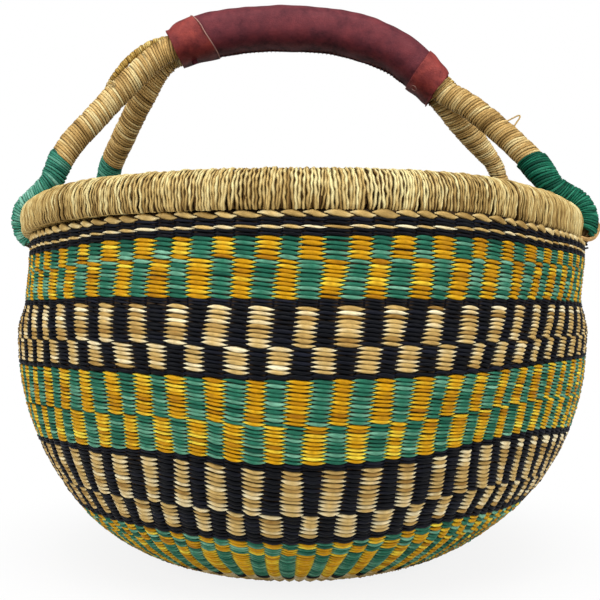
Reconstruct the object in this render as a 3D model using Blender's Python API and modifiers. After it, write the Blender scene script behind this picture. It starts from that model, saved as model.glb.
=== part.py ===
"""Bolga basket: a round basket twined from dyed elephant grass, with a wound rim and a double handle.

Metres, +Z up. The origin is the middle of the underside. The handle's feet stand along X,
and its two arches lie one behind the other along Y.
"""

import math

import bmesh
import bpy
from mathutils import Vector

# Body: the outside of the twined wall, a flat base with a rounded flank
BASE_RADIUS = 0.081
BELLY_RADIUS = 0.2008
BELLY_HEIGHT = 0.160
NECK_RADIUS = 0.1965
NECK_RISE = 0.021
WALL_HEIGHT = 0.229
WALL_THICKNESS = 0.0045
FLANK_RISE_POWER = 2.15
FLANK_REACH_POWER = 1.68

# Clearance between pieces that touch, and how far a cutter runs past what it cuts
SEAT_GAP = 0.0003
OVERRUN = 0.004

# Rim: an oval roll, seated on the wall off its middle, so that it leans inwards
RIM_HALF_WIDTH = 0.013
RIM_HALF_DEPTH = 0.01225
RIM_WRAP_THICKNESS = 0.0027
STAKE_THICKNESS = 0.0030
RIM_SEAT_SHARE = 0.67
BUNDLE_SHARE = 0.97
OVAL_REACH_SHARE = 0.98

# Handle: two arches side by side
HANDLE_TOP = 0.386
HANDLE_SETBACK = 0.026
ARCH_RADIUS = 0.0095
CORE_RADIUS = 0.0070
TAIL_RADIUS = 0.0045
FILLER_RADIUS = 0.0050
FOOT_RADIUS_LEFT = 0.0065
FOOT_RADIUS_RIGHT = 0.0078
FOOT_SLACK_RIGHT = 0.0012
FRONT_FOOT_ANGLE = -4.0
BACK_LEFT_FOOT_ANGLE = 25.0
BACK_RIGHT_FOOT_ANGLE = 22.0
TAIL_TURN = 292.0

# Grip: leather sewn round both arches
LEATHER_THICKNESS = 0.0016
GRIP_EASE = 0.0009
SLEEVE_PUFF = 0.0030
CUFF_LENGTH_LEFT = 0.028
CUFF_LENGTH_RIGHT = 0.024
SECTION_POWER = 2.5

# Facet counts, the spacing of a tube's rings, and the bend from which they stand closer
RING_STEPS = 40
RIM_OUTER_POINTS = 12
RIM_INNER_POINTS = 8
SECTION_POINTS = 20
CORE_SIDES = 6
SLEEVE_SIDES = 8
ARCH_STEP = 0.0160
LOOP_STEP = 0.0056
LOOP_BEND = 15.0
OUTLINE_STEPS = 400
# Points stand closer together where the flank turns fastest, near the base's edge
CROWDING_POWER = 1.6
MERGE_DISTANCE = 0.00001

# Where each band of the wall ends, as a share of the wall's length from base edge to rim
BAND_TOP_SHARES = (
    ("base_disc", "natural", 0.197, 4),
    ("green_yellow_low", "green", 0.326, 3),
    ("black_line_1", "black", 0.3455, 2),
    ("natural_black_low", "straw", 0.504, 3),
    ("black_line_2", "black", 0.5166, 2),
    ("green_yellow_mid", "yellow", 0.682, 3),
    ("black_line_3", "black", 0.6925, 2),
    ("natural_black_high", "straw", 0.817, 3),
    ("black_line_4", "black", 0.829, 2),
    ("green_yellow_high", "green", 0.940, 2),
    ("border_twining", "black", 1.000, 2),
)

# The arch seen from the front. Across, 1 is the radius of the rim's middle; up, 0 is the rim's
# top and 1 is the top of the arch
GRIP_SHARES = (
    (-0.528, 0.893),
    (-0.453, 0.932),
    (-0.296, 0.980),
    (-0.047, 1.000),
    (0.201, 0.963),
    (0.420, 0.838),
    (0.516, 0.726),
    (0.561, 0.672),
)
# Each leg from the grip down to the rim: across, up, and the share of the way from the grip's
# setback to the foot's
FRONT_LEFT_SHARES = ((-0.715, 0.664, 0.24), (-0.833, 0.463, 0.55), (-0.900, 0.344, 0.76), (-0.948, 0.231, 0.90))
BACK_LEFT_SHARES = ((-0.685, 0.628, 0.16), (-0.764, 0.455, 0.43), (-0.838, 0.292, 0.76))
FRONT_RIGHT_SHARES = ((0.679, 0.560, 0.20), (0.808, 0.395, 0.48), (0.904, 0.244, 0.79))
BACK_RIGHT_SHARES = ((0.702, 0.478, 0.33), (0.775, 0.391, 0.52), (0.861, 0.286, 0.72))
# Where the green binding starts, as a height over the rim's top on the same scale
GREEN_START_SHARE = 0.235
# The hook of a foot round the rim: degrees from straight up, and the wrap's share of the way
# from the arch's radius down to the foot's. Above it the arch has already drawn in a little
FOOT_TOP_TURN = -6.0
FOOT_TOP_REACH_SHARE = 2.18
FOOT_TOP_CORE_SHARE = 0.90
FOOT_TOP_WRAP_SHARE = 0.92
HOOK_TURNS = ((22.0, 0.75), (48.0, 1.0), (75.0, 1.0), (102.0, 1.0), (128.0, 1.0))
TAIL_TURNS = (152.0, 178.0, 206.0, 234.0, 262.0)
# The filler runs this many rings past the grip at each end, and thins over as many more
FILLER_OVERHANG = 3
FILLER_TAPER = 4
FILLER_TIP_SHARE = 0.375
FILLER_SPREAD_SHARE = 0.76

COLOURS = {
    "natural": ((0.64, 0.47, 0.19), 0.75),
    "straw": ((0.68, 0.52, 0.24), 0.72),
    "green": ((0.025, 0.21, 0.12), 0.65),
    "yellow": ((0.76, 0.37, 0.012), 0.65),
    "black": ((0.012, 0.013, 0.028), 0.6),
    "tan": ((0.50, 0.33, 0.13), 0.75),
    "leather": ((0.16, 0.03, 0.035), 0.5),
    "cuff": ((0.28, 0.045, 0.04), 0.5),
}


def clear_scene():
    for item in list(bpy.data.objects):
        bpy.data.objects.remove(item, do_unlink=True)


def new_collection(name):
    collection = bpy.data.collections.new(name)
    bpy.context.scene.collection.children.link(collection)
    return collection


def material(name, colour_name):
    """Grass and leather are matt to satin, and nothing here is metal."""
    colour, roughness = COLOURS[colour_name]
    made = bpy.data.materials.new(name)
    made.use_nodes = True
    shader = made.node_tree.nodes["Principled BSDF"]
    shader.inputs["Base Color"].default_value = (*colour, 1.0)
    shader.inputs["Roughness"].default_value = roughness
    shader.inputs["Metallic"].default_value = 0.0
    made.diffuse_color = (*colour, 1.0)
    return made


def add_object(name, data, collection, colour_name=None):
    made = bpy.data.objects.new(name, data)
    collection.objects.link(made)
    if colour_name:
        data.materials.append(material(name, colour_name))
    else:
        made.hide_render = True
        made.display_type = "WIRE"
    return made


# Wall

def wall_outline(count):
    """Outside of the wall as (radius, height), from the base's edge to the rim."""
    points = []
    for i in range(count + 1):
        rise = (i / count) ** CROWDING_POWER
        reach = (1.0 - (1.0 - rise) ** FLANK_RISE_POWER) ** (1.0 / FLANK_REACH_POWER)
        radius = BASE_RADIUS + (BELLY_RADIUS - BASE_RADIUS) * reach
        points.append(Vector((radius, BELLY_HEIGHT * rise)))
    for i in range(1, count + 1):
        height = BELLY_HEIGHT + (WALL_HEIGHT - BELLY_HEIGHT) * i / count
        ease = min(1.0, (height - BELLY_HEIGHT) / NECK_RISE)
        ease = ease * ease * (3.0 - 2.0 * ease)
        points.append(Vector((BELLY_RADIUS - (BELLY_RADIUS - NECK_RADIUS) * ease, height)))
    return points


OUTLINE = wall_outline(OUTLINE_STEPS)
RUN = [0.0]
for low, high in zip(OUTLINE, OUTLINE[1:]):
    RUN.append(RUN[-1] + (high - low).length)
WALL_LENGTH = RUN[-1]


def wall_point(run, depth=0.0):
    """Point on the wall at a length from the base's edge, at a depth under its outside."""
    run = min(max(run, 0.0), WALL_LENGTH)
    index = next(i for i in range(1, len(RUN)) if RUN[i] >= run - MERGE_DISTANCE)
    low, high = OUTLINE[index - 1], OUTLINE[index]
    span = RUN[index] - RUN[index - 1]
    place = low.lerp(high, (run - RUN[index - 1]) / span)
    along = (high - low).normalized()
    return place + Vector((-along.y, along.x)) * depth


def ring(name, profile, collection, colour_name, closed=True):
    """A turned ring: the profile runs down its outer side and back up its inner side."""
    mesh = bpy.data.meshes.new(name)
    count = len(profile)
    edges = [(i, i + 1) for i in range(count - 1)]
    if closed:
        edges.append((count - 1, 0))
    mesh.from_pydata([(p[0], 0.0, p[1]) for p in profile], edges, [])
    made = add_object(name, mesh, collection, colour_name)
    screw = made.modifiers.new("turn", "SCREW")
    screw.axis = "Z"
    screw.steps = RING_STEPS
    screw.render_steps = RING_STEPS
    screw.use_merge_vertices = True
    screw.merge_threshold = MERGE_DISTANCE
    screw.use_smooth_shade = True
    return made


def wall_band(name, colour_name, low, high, points, collection):
    """One band of twining between two lengths up the wall."""
    runs = [high - (high - low) * i / (points - 1) for i in range(points)]
    outside = [wall_point(run) for run in runs]
    inside = [wall_point(run, WALL_THICKNESS) for run in reversed(runs)]
    return ring(name, outside + inside, collection, colour_name)


def base_disc(name, colour_name, high, points, collection):
    """The flat start of the bottom and the first rows of the flank."""
    shares = [(i / points) ** CROWDING_POWER for i in range(points, 0, -1)]
    outside = [wall_point(high * share) for share in shares]
    inside = [wall_point(high * share, WALL_THICKNESS) for share in reversed(shares)]
    floor = [Vector((BASE_RADIUS, 0.0)), Vector((0.0, 0.0))]
    top = [Vector((0.0, WALL_THICKNESS)), Vector((BASE_RADIUS, WALL_THICKNESS))]
    return ring(name, top + inside + outside + floor, collection, colour_name, closed=False)


RIM_SEAT = RIM_SEAT_SHARE * RIM_HALF_WIDTH
RIM_RADIUS = NECK_RADIUS - WALL_THICKNESS / 2 - RIM_SEAT
RIM_DROP = RIM_HALF_DEPTH * math.sqrt(1.0 - RIM_SEAT_SHARE ** 2)
RIM_HEIGHT = WALL_HEIGHT + SEAT_GAP + RIM_DROP
RIM_TOP = RIM_HEIGHT + RIM_HALF_DEPTH


def wall_top(radius):
    """Height of the wall's top edge, which slopes to lie along the underside of the rim."""
    heights = []
    for edge in (NECK_RADIUS, NECK_RADIUS - WALL_THICKNESS):
        share = min(OVAL_REACH_SHARE, abs(edge - RIM_RADIUS) / RIM_HALF_WIDTH)
        heights.append(RIM_HEIGHT - SEAT_GAP - RIM_HALF_DEPTH * math.sqrt(1.0 - share * share))
    return heights[0] + (heights[1] - heights[0]) * (NECK_RADIUS - radius) / WALL_THICKNESS


def border_band(name, colour_name, low, collection):
    """The last rows, whose top edge carries the rim."""
    inner_radius = NECK_RADIUS - WALL_THICKNESS
    profile = [
        Vector((NECK_RADIUS, wall_top(NECK_RADIUS))),
        wall_point(low),
        wall_point(low, WALL_THICKNESS),
        Vector((inner_radius, wall_top(inner_radius))),
    ]
    return ring(name, profile, collection, colour_name)


def build_wall(collection):
    """All bands from the bottom up, each a seat gap clear of the next; returns the last."""
    low = 0.0
    for name, colour_name, top_share, points in BAND_TOP_SHARES:
        high = WALL_LENGTH * top_share
        if low == 0.0:
            made = base_disc(name, colour_name, high - SEAT_GAP / 2, points, collection)
        elif top_share == 1.0:
            made = border_band(name, colour_name, low + SEAT_GAP / 2, collection)
        else:
            ends = (low + SEAT_GAP / 2, high - SEAT_GAP / 2)
            made = wall_band(name, colour_name, *ends, points, collection)
        low = high
    return made


# Rim


def oval(half_width, half_depth, start, end, count):
    """Arc of an oval about the rim's middle: degrees from straight up, turning outwards."""
    points = []
    for i in range(count):
        turn = math.radians(start + (end - start) * i / (count - 1))
        across = half_width * math.sin(turn)
        points.append(Vector((RIM_RADIUS + across, RIM_HEIGHT + half_depth * math.cos(turn))))
    return points


def slot_turn(half_width, offset):
    """Where a vertical line at an offset from the rim's middle leaves the lower half of an oval."""
    return 180.0 - math.degrees(math.asin(min(OVAL_REACH_SHARE, offset / half_width)))


def build_rim(collection):
    """The wound shell is open where the stakes come up into the bundle."""
    half_slot = STAKE_THICKNESS / 2 + SEAT_GAP
    inner_width = RIM_HALF_WIDTH - RIM_WRAP_THICKNESS
    inner_depth = RIM_HALF_DEPTH - RIM_WRAP_THICKNESS
    outer_near = slot_turn(RIM_HALF_WIDTH, RIM_SEAT + half_slot)
    outer_far = slot_turn(RIM_HALF_WIDTH, RIM_SEAT - half_slot) - 360.0
    inner_near = slot_turn(inner_width, RIM_SEAT + half_slot)
    inner_far = slot_turn(inner_width, RIM_SEAT - half_slot) - 360.0
    outer = oval(RIM_HALF_WIDTH, RIM_HALF_DEPTH, outer_far, outer_near, RIM_OUTER_POINTS)
    inner = oval(inner_width, inner_depth, inner_near, inner_far, RIM_INNER_POINTS)
    ring("rim_wrap", outer + inner, collection, "natural")

    core_width = inner_width - SEAT_GAP
    core_depth = inner_depth - SEAT_GAP
    half_stake = STAKE_THICKNESS / 2
    near = slot_turn(core_width, RIM_SEAT + half_stake)
    far = slot_turn(core_width, RIM_SEAT - half_stake) - 360.0
    bundle = oval(core_width * BUNDLE_SHARE, core_depth * BUNDLE_SHARE, far, near, RIM_INNER_POINTS)
    edges = (RIM_RADIUS + RIM_SEAT + half_stake, RIM_RADIUS + RIM_SEAT - half_stake)
    stakes = [Vector((edge, wall_top(edge) + SEAT_GAP)) for edge in edges]
    ring("rim_core", bundle + stakes, collection, "tan")


# Handle

ARCH_SPREAD = ARCH_RADIUS + SEAT_GAP / 2
HANDLE_RISE = HANDLE_TOP - RIM_TOP


def front_view(across_share, up_share, setback):
    return Vector((across_share * RIM_RADIUS, setback, RIM_TOP + up_share * HANDLE_RISE))


def round_rim(angle, turn, reach):
    """Point round the rim: a compass angle behind the X axis, a turn from straight up, a reach."""
    sweep = math.radians(turn)
    radius = RIM_RADIUS + reach * math.sin(sweep)
    side = math.radians(angle)
    height = RIM_HEIGHT + reach * math.cos(sweep)
    return Vector((radius * math.cos(side), radius * math.sin(side), height))


def foot_points(side, angle, foot_radius, slack):
    """A foot from above the rim, over and round it, and up inside: place, core and wrap radius."""
    top_core = CORE_RADIUS * FOOT_TOP_CORE_SHARE
    top_wrap = ARCH_RADIUS * FOOT_TOP_WRAP_SHARE
    top_reach = RIM_HALF_WIDTH * FOOT_TOP_REACH_SHARE
    rows = [(round_rim(angle, FOOT_TOP_TURN, top_reach), top_core, top_wrap)]
    for turn, share in HOOK_TURNS:
        wrap = top_wrap + (foot_radius - top_wrap) * share
        reach = RIM_HALF_WIDTH + SEAT_GAP + wrap + slack
        rows.append((round_rim(angle, turn, reach), TAIL_RADIUS, wrap))
    for turn in (*TAIL_TURNS, TAIL_TURN):
        reach = RIM_HALF_WIDTH + SEAT_GAP * 2 + TAIL_RADIUS
        rows.append((round_rim(angle, turn, reach), TAIL_RADIUS, foot_radius))
    return [(Vector((side * place.x, place.y, place.z)), core, wrap) for place, core, wrap in rows]


def leg_points(shares, setback, foot_setback):
    rows = []
    for across, up, share in shares:
        behind = setback + (foot_setback - setback) * share
        rows.append((front_view(across, up, behind), CORE_RADIUS, ARCH_RADIUS))
    return rows


def hermite(start, end, start_slope, end_slope, share):
    """A smooth step between two values, given their slopes over the whole step."""
    square = share * share
    cube = square * share
    return (
        start * (2 * cube - 3 * square + 1)
        + start_slope * (cube - 2 * square + share)
        + end * (3 * square - 2 * cube)
        + end_slope * (cube - square)
    )


def smooth_stations(rows, marks):
    """A smooth curve through the rows, with a ring every step; marks follow their rows.

    The arch leaves each end of the grip straight on from the grip's last stretch.
    """
    places = [row[0] for row in rows]
    spans = [(b - a).length for a, b in zip(places, places[1:])]
    slopes = []
    for i in range(len(places)):
        if i == 0 or marks.get(i) == "grip_start":
            slopes.append((places[i + 1] - places[i]) / spans[i])
        elif i == len(places) - 1 or marks.get(i) == "grip_end":
            slopes.append((places[i] - places[i - 1]) / spans[i - 1])
        else:
            before = (places[i] - places[i - 1]) / spans[i - 1]
            after = (places[i + 1] - places[i]) / spans[i]
            slopes.append((before * spans[i] + after * spans[i - 1]) / (spans[i] + spans[i - 1]))
    stations = []
    kept = {}
    for i, span in enumerate(spans):
        if i in marks:
            kept[marks[i]] = len(stations)
        turning = slopes[i].angle(slopes[i + 1])
        step = LOOP_STEP if turning > math.radians(LOOP_BEND) else ARCH_STEP
        count = max(1, round(span / step))
        for j in range(count):
            share = j / count
            place = hermite(places[i], places[i + 1], slopes[i] * span, slopes[i + 1] * span, share)
            core = rows[i][1] + (rows[i + 1][1] - rows[i][1]) * share
            wrap = rows[i][2] + (rows[i + 1][2] - rows[i][2]) * share
            stations.append((place, core, wrap))
    if len(spans) in marks:
        kept[marks[len(spans)]] = len(stations)
    stations.append(rows[-1])
    return stations, kept


def arch_stations(setback, left_shares, right_shares, left_angle, right_angle):
    """One arch from the tail of its left foot to the tail of its right foot."""
    left_foot = foot_points(-1.0, left_angle, FOOT_RADIUS_LEFT, 0.0)
    right_foot = foot_points(1.0, right_angle, FOOT_RADIUS_RIGHT, FOOT_SLACK_RIGHT)
    left_leg = leg_points(left_shares, setback, left_foot[0][0].y)
    right_leg = leg_points(right_shares, setback, right_foot[0][0].y)
    grip = [(front_view(x, z, setback), CORE_RADIUS, ARCH_RADIUS) for x, z in GRIP_SHARES]
    rows = left_foot[::-1] + left_leg[::-1] + grip + right_leg + right_foot
    first = len(left_foot)
    tails = len(TAIL_TURNS) + 1
    marks = {
        tails: "left_end",
        first + len(left_leg): "grip_start",
        first + len(left_leg) + len(grip) - 1: "grip_end",
        len(rows) - 1 - tails: "right_end",
    }
    stations, kept = smooth_stations(rows, marks)
    level = RIM_TOP + GREEN_START_SHARE * HANDLE_RISE
    kept["left_green"] = next(i for i in range(kept["left_end"], len(stations)) if stations[i][0].z > level)
    kept["right_green"] = next(i for i in range(kept["right_end"], 0, -1) if stations[i][0].z > level)
    return stations, kept


def tube(name, places, radii, sides, collection, colour_name=None):
    """A bevelled curve with filled caps; sides is the number of flats round it."""
    curve = bpy.data.curves.new(name, "CURVE")
    curve.dimensions = "3D"
    curve.bevel_depth = radii[0]
    curve.bevel_resolution = (sides - 4) // 2
    curve.use_fill_caps = True
    spline = curve.splines.new("POLY")
    spline.points.add(len(places) - 1)
    for point, place, radius in zip(spline.points, places, radii):
        point.co = (*place, 1.0)
        point.radius = radius / radii[0]
    spline.use_smooth = True
    return add_object(name, curve, collection, colour_name)


def as_mesh(item):
    """The curve's closed mesh as an object of its own, with the caps welded."""
    graph = bpy.context.evaluated_depsgraph_get()
    mesh = bpy.data.meshes.new_from_object(item.evaluated_get(graph))
    shape = bmesh.new()
    shape.from_mesh(mesh)
    bmesh.ops.remove_doubles(shape, verts=shape.verts, dist=MERGE_DISTANCE)
    bmesh.ops.recalc_face_normals(shape, faces=shape.faces)
    shape.to_mesh(mesh)
    shape.free()
    name = item.name
    collection = item.users_collection[0]
    place = item.matrix_world.copy()
    hidden = item.hide_render
    bpy.data.objects.remove(item, do_unlink=True)
    made = bpy.data.objects.new(name, mesh)
    mesh.name = name
    collection.objects.link(made)
    made.matrix_world = place
    made.hide_render = hidden
    made.display_type = "WIRE" if hidden else "TEXTURED"
    return made


def cut(target, cutter):
    hole = target.modifiers.new("cut_" + cutter.name, "BOOLEAN")
    hole.operation = "DIFFERENCE"
    hole.solver = "EXACT"
    hole.object = cutter


def between(stations, index, offset):
    """A ring halfway from a station to the next, moved along that stretch by an offset."""
    here, ahead = stations[index], stations[index + 1]
    along = (ahead[0] - here[0]).normalized()
    place = here[0].lerp(ahead[0], 0.5) + along * offset
    return place, (here[1] + ahead[1]) / 2, (here[2] + ahead[2]) / 2


def wound_sleeve(name, rings, bore, collection, colour_name):
    """A winding round a stretch of a core: an outer tube with the core's bore cut out."""
    places = [row[0] for row in rings]
    radii = [row[2] for row in rings]
    made = as_mesh(tube(name, places, radii, SLEEVE_SIDES, collection, colour_name))
    cut(made, bore)


def build_arch(which, stations, kept, collection, cutters):
    """Core, natural winding and the green bindings of one arch's two feet."""
    places = [row[0] for row in stations]
    core_radii = [row[1] for row in stations]
    tube("handle_core_" + which, places, core_radii, CORE_SIDES, collection, "tan")
    bore_radii = [radius + SEAT_GAP / math.cos(math.pi / CORE_SIDES) for radius in core_radii]
    bore = as_mesh(tube("bore_" + which, places, bore_radii, CORE_SIDES, cutters))
    left, right = kept["left_green"], kept["right_green"]
    half_gap = SEAT_GAP / 2
    natural = [between(stations, left, half_gap)]
    natural += stations[left + 1 : right]
    natural += [between(stations, right - 1, -half_gap)]
    wound_sleeve("handle_wrap_" + which, natural, bore, collection, "straw")
    left_foot = stations[kept["left_end"] : left + 1] + [between(stations, left, -half_gap)]
    right_foot = [between(stations, right - 1, half_gap)] + stations[right : kept["right_end"] + 1]
    wound_sleeve(f"foot_wrap_{which}_left", left_foot, bore, collection, "green")
    wound_sleeve(f"foot_wrap_{which}_right", right_foot, bore, collection, "green")


def cut_notch(border, side, angle, cutters):
    """The notch at the top of the border where a handle's tail goes in under the rim."""
    reach = RIM_HALF_WIDTH + SEAT_GAP * 2 + TAIL_RADIUS
    low = RIM_HEIGHT - reach - TAIL_RADIUS - SEAT_GAP
    high = WALL_HEIGHT + OVERRUN
    width = 2 * (TAIL_RADIUS + SEAT_GAP * 2)
    depth = WALL_THICKNESS + 2 * OVERRUN
    mesh = bpy.data.meshes.new("notch")
    shape = bmesh.new()
    bmesh.ops.create_cube(shape, size=1.0)
    bmesh.ops.scale(shape, verts=shape.verts, vec=(depth, width, high - low))
    shape.to_mesh(mesh)
    shape.free()
    cutter = add_object(f"notch_{len(cutters.objects)}", mesh, cutters)
    turn = math.radians(angle)
    middle = NECK_RADIUS - WALL_THICKNESS / 2
    cutter.location = (side * middle * math.cos(turn), middle * math.sin(turn), (low + high) / 2)
    cutter.rotation_euler = (0.0, 0.0, side * turn)
    cut(border, cutter)


def build_filler(front, back, kept, collection):
    """A thin bundle lying on both arches, tapering out past each end of the grip."""
    rest = ARCH_RADIUS + FILLER_RADIUS + SEAT_GAP
    first = kept["grip_start"] - FILLER_OVERHANG
    last = kept["grip_end"] + FILLER_OVERHANG
    places = []
    radii = []
    for i in range(first, last + 1):
        along = (front[i + 1][0] - front[i - 1][0]).normalized()
        behind = Vector((0.0, 1.0, 0.0))
        up = behind.cross(along) * -1.0
        spread = min(FILLER_SPREAD_SHARE, (back[i][0].y - front[i][0].y) / 2 / rest)
        fade = min(1.0, FILLER_TIP_SHARE + min(i - first, last - i) / FILLER_TAPER)
        radius = FILLER_RADIUS * fade
        reach = ARCH_RADIUS + radius + SEAT_GAP * 2
        lift = math.sqrt(1.0 - spread * spread)
        places.append(front[i][0] + (behind * spread + up * lift) * reach)
        radii.append(radius)
    tube("handle_filler", places, radii, SLEEVE_SIDES, collection, "straw")


def section(middle, along, half_width, half_height):
    """A rounded oblong section of the grip, square to the arch."""
    behind = Vector((0.0, 1.0, 0.0))
    up = behind.cross(along).normalized() * -1.0
    points = []
    for i in range(SECTION_POINTS):
        turn = 2 * math.pi * i / SECTION_POINTS
        side, rise = math.cos(turn), math.sin(turn)
        across = math.copysign(abs(side) ** (2 / SECTION_POWER), side) * half_width
        height = math.copysign(abs(rise) ** (2 / SECTION_POWER), rise) * half_height
        points.append(middle + behind * across + up * height)
    return points


def shell(name, sections, thickness, collection, colour_name):
    """An open tube through the sections, thickened outwards."""
    mesh = bpy.data.meshes.new(name)
    shape = bmesh.new()
    loops = [[shape.verts.new(point) for point in points] for points in sections]
    for low, high in zip(loops, loops[1:]):
        for i in range(len(low)):
            j = (i + 1) % len(low)
            shape.faces.new((low[i], low[j], high[j], high[i]))
    bmesh.ops.recalc_face_normals(shape, faces=shape.faces)
    shape.to_mesh(mesh)
    shape.free()
    mesh.shade_smooth()
    made = add_object(name, mesh, collection, colour_name)
    solid = made.modifiers.new("thickness", "SOLIDIFY")
    solid.thickness = thickness
    solid.offset = 1.0
    return made


def build_grip(front, back, kept, collection):
    """The sleeve follows the arches; each cuff is a second skin over one end."""
    first, last = kept["grip_start"], kept["grip_end"]
    filler_top = math.sqrt((ARCH_RADIUS + FILLER_RADIUS) ** 2 - ARCH_SPREAD ** 2) + FILLER_RADIUS
    lift = (filler_top - ARCH_RADIUS) / 2
    snug_width = ARCH_SPREAD + ARCH_RADIUS + GRIP_EASE
    fall = (1.0 - (ARCH_SPREAD / snug_width) ** SECTION_POWER) ** (1 / SECTION_POWER)
    snug_height = (ARCH_RADIUS + lift + GRIP_EASE) / (fall * math.cos(math.pi / SECTION_POINTS))
    middles = []
    for i in range(first, last + 1):
        along = (front[min(i + 1, last)][0] - front[max(i - 1, first)][0]).normalized()
        up = Vector((0.0, 1.0, 0.0)).cross(along) * -1.0
        middle = (front[i][0] + back[i][0]) / 2 + up * lift
        middles.append((middle, along))
    lengths = [0.0]
    for low, high in zip(middles, middles[1:]):
        lengths.append(lengths[-1] + (high[0] - low[0]).length)
    whole = lengths[-1]

    def ring_at(skin, length):
        """The section at a length along the grip, on the facets between the sections beside it."""
        index = next(i for i in range(1, len(lengths)) if lengths[i] >= length - MERGE_DISTANCE)
        share = (length - lengths[index - 1]) / (lengths[index] - lengths[index - 1])
        ends = []
        for place in (index - 1, index):
            puff = SLEEVE_PUFF * math.sqrt(math.sin(math.pi * lengths[place] / whole))
            ends.append(section(*middles[place], snug_width + skin, snug_height + puff + skin))
        return [low.lerp(high, share) for low, high in zip(*ends)]

    def rings(skin, low, high):
        inner = [length for length in lengths if low + SEAT_GAP < length < high - SEAT_GAP]
        return [ring_at(skin, length) for length in (low, *inner, high)]

    shell("grip_sleeve", rings(0.0, 0.0, whole), LEATHER_THICKNESS, collection, "leather")
    skin = LEATHER_THICKNESS + SEAT_GAP
    left = rings(skin, 0.0, CUFF_LENGTH_LEFT)
    right = rings(skin, whole - CUFF_LENGTH_RIGHT, whole)
    shell("grip_cuff_left", left, LEATHER_THICKNESS, collection, "cuff")
    shell("grip_cuff_right", right, LEATHER_THICKNESS, collection, "cuff")


def build_handle(border, collection, cutters):
    front, front_kept = arch_stations(
        HANDLE_SETBACK - ARCH_SPREAD, FRONT_LEFT_SHARES, FRONT_RIGHT_SHARES, FRONT_FOOT_ANGLE, FRONT_FOOT_ANGLE
    )
    back, back_kept = arch_stations(
        HANDLE_SETBACK + ARCH_SPREAD, BACK_LEFT_SHARES, BACK_RIGHT_SHARES, BACK_LEFT_FOOT_ANGLE, BACK_RIGHT_FOOT_ANGLE
    )
    build_arch("front", front, front_kept, collection, cutters)
    build_arch("back", back, back_kept, collection, cutters)
    shift = front_kept["grip_start"] - back_kept["grip_start"]
    beside = [back[min(max(i - shift, 0), len(back) - 1)] for i in range(len(front))]
    build_filler(front, beside, front_kept, collection)
    build_grip(front, beside, front_kept, collection)
    feet = (
        (-1.0, FRONT_FOOT_ANGLE),
        (1.0, FRONT_FOOT_ANGLE),
        (-1.0, BACK_LEFT_FOOT_ANGLE),
        (1.0, BACK_RIGHT_FOOT_ANGLE),
    )
    for side, angle in feet:
        cut_notch(border, side, angle, cutters)


clear_scene()
basket = new_collection("bolga_basket")
cutting = new_collection("cutters")
border_twining = build_wall(basket)
build_rim(basket)
build_handle(border_twining, basket, cutting)
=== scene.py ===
"""Looks of the bolga basket: every straw of the twining, the rim and the handle, and the leather grip."""

import math

import bpy
import numpy as np
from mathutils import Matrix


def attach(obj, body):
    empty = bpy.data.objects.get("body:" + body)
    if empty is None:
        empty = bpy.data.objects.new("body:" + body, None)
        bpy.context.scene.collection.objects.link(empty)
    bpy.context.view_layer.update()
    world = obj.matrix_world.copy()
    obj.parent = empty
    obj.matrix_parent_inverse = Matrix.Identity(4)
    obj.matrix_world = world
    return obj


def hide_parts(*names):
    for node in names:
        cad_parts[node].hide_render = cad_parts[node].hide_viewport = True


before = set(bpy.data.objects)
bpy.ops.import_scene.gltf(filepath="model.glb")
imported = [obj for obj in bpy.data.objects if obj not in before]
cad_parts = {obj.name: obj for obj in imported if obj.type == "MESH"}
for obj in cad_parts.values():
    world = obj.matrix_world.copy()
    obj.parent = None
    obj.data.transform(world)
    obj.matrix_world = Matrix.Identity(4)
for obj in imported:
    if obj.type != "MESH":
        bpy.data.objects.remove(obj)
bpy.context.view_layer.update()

# Bottom and flank: undyed elephant grass, twined in pairs of straws round the stakes. The bottom
# starts as a flat disc, and stakes are added as it grows, until the full count stands on its edge.
# All of the wall is made this way, so what the later bands share is worked out here.
BASE_RADIUS = 0.081
BELLY_RADIUS = 0.2008
BELLY_HEIGHT = 0.160
NECK_RADIUS = 0.1965
NECK_RISE = 0.021
WALL_HEIGHT = 0.229
WALL_THICKNESS = 0.0045
FLANK_RISE_POWER = 2.15
FLANK_REACH_POWER = 1.68
OUTLINE_STEPS = 600
# The outline's points stand closer together where the bottom turns up
CROWDING_POWER = 1.6

STAKES = 124
# Where some stakes stand: number, and degrees to the right of the front. They crowd at the sides
STAKE_PLACES = (
    (-20, -60.0), (-10, -32.4), (-6, -19.3), (0, 0.5), (6, 20.7), (10, 32.4), (18, 50.5), (24, 66.4),
)
SPACING_ROUNDS = 6
STAKE_LEAN = 24.2
STAKE_LEAN_RUN = 0.225
STAKE_WANDER = 0.35
# How the wander goes up and down: radians for each stake, and for each metre up the wall
WANDER_WAVES = ((2.4, 60.0), (1.1, -95.0))

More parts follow.
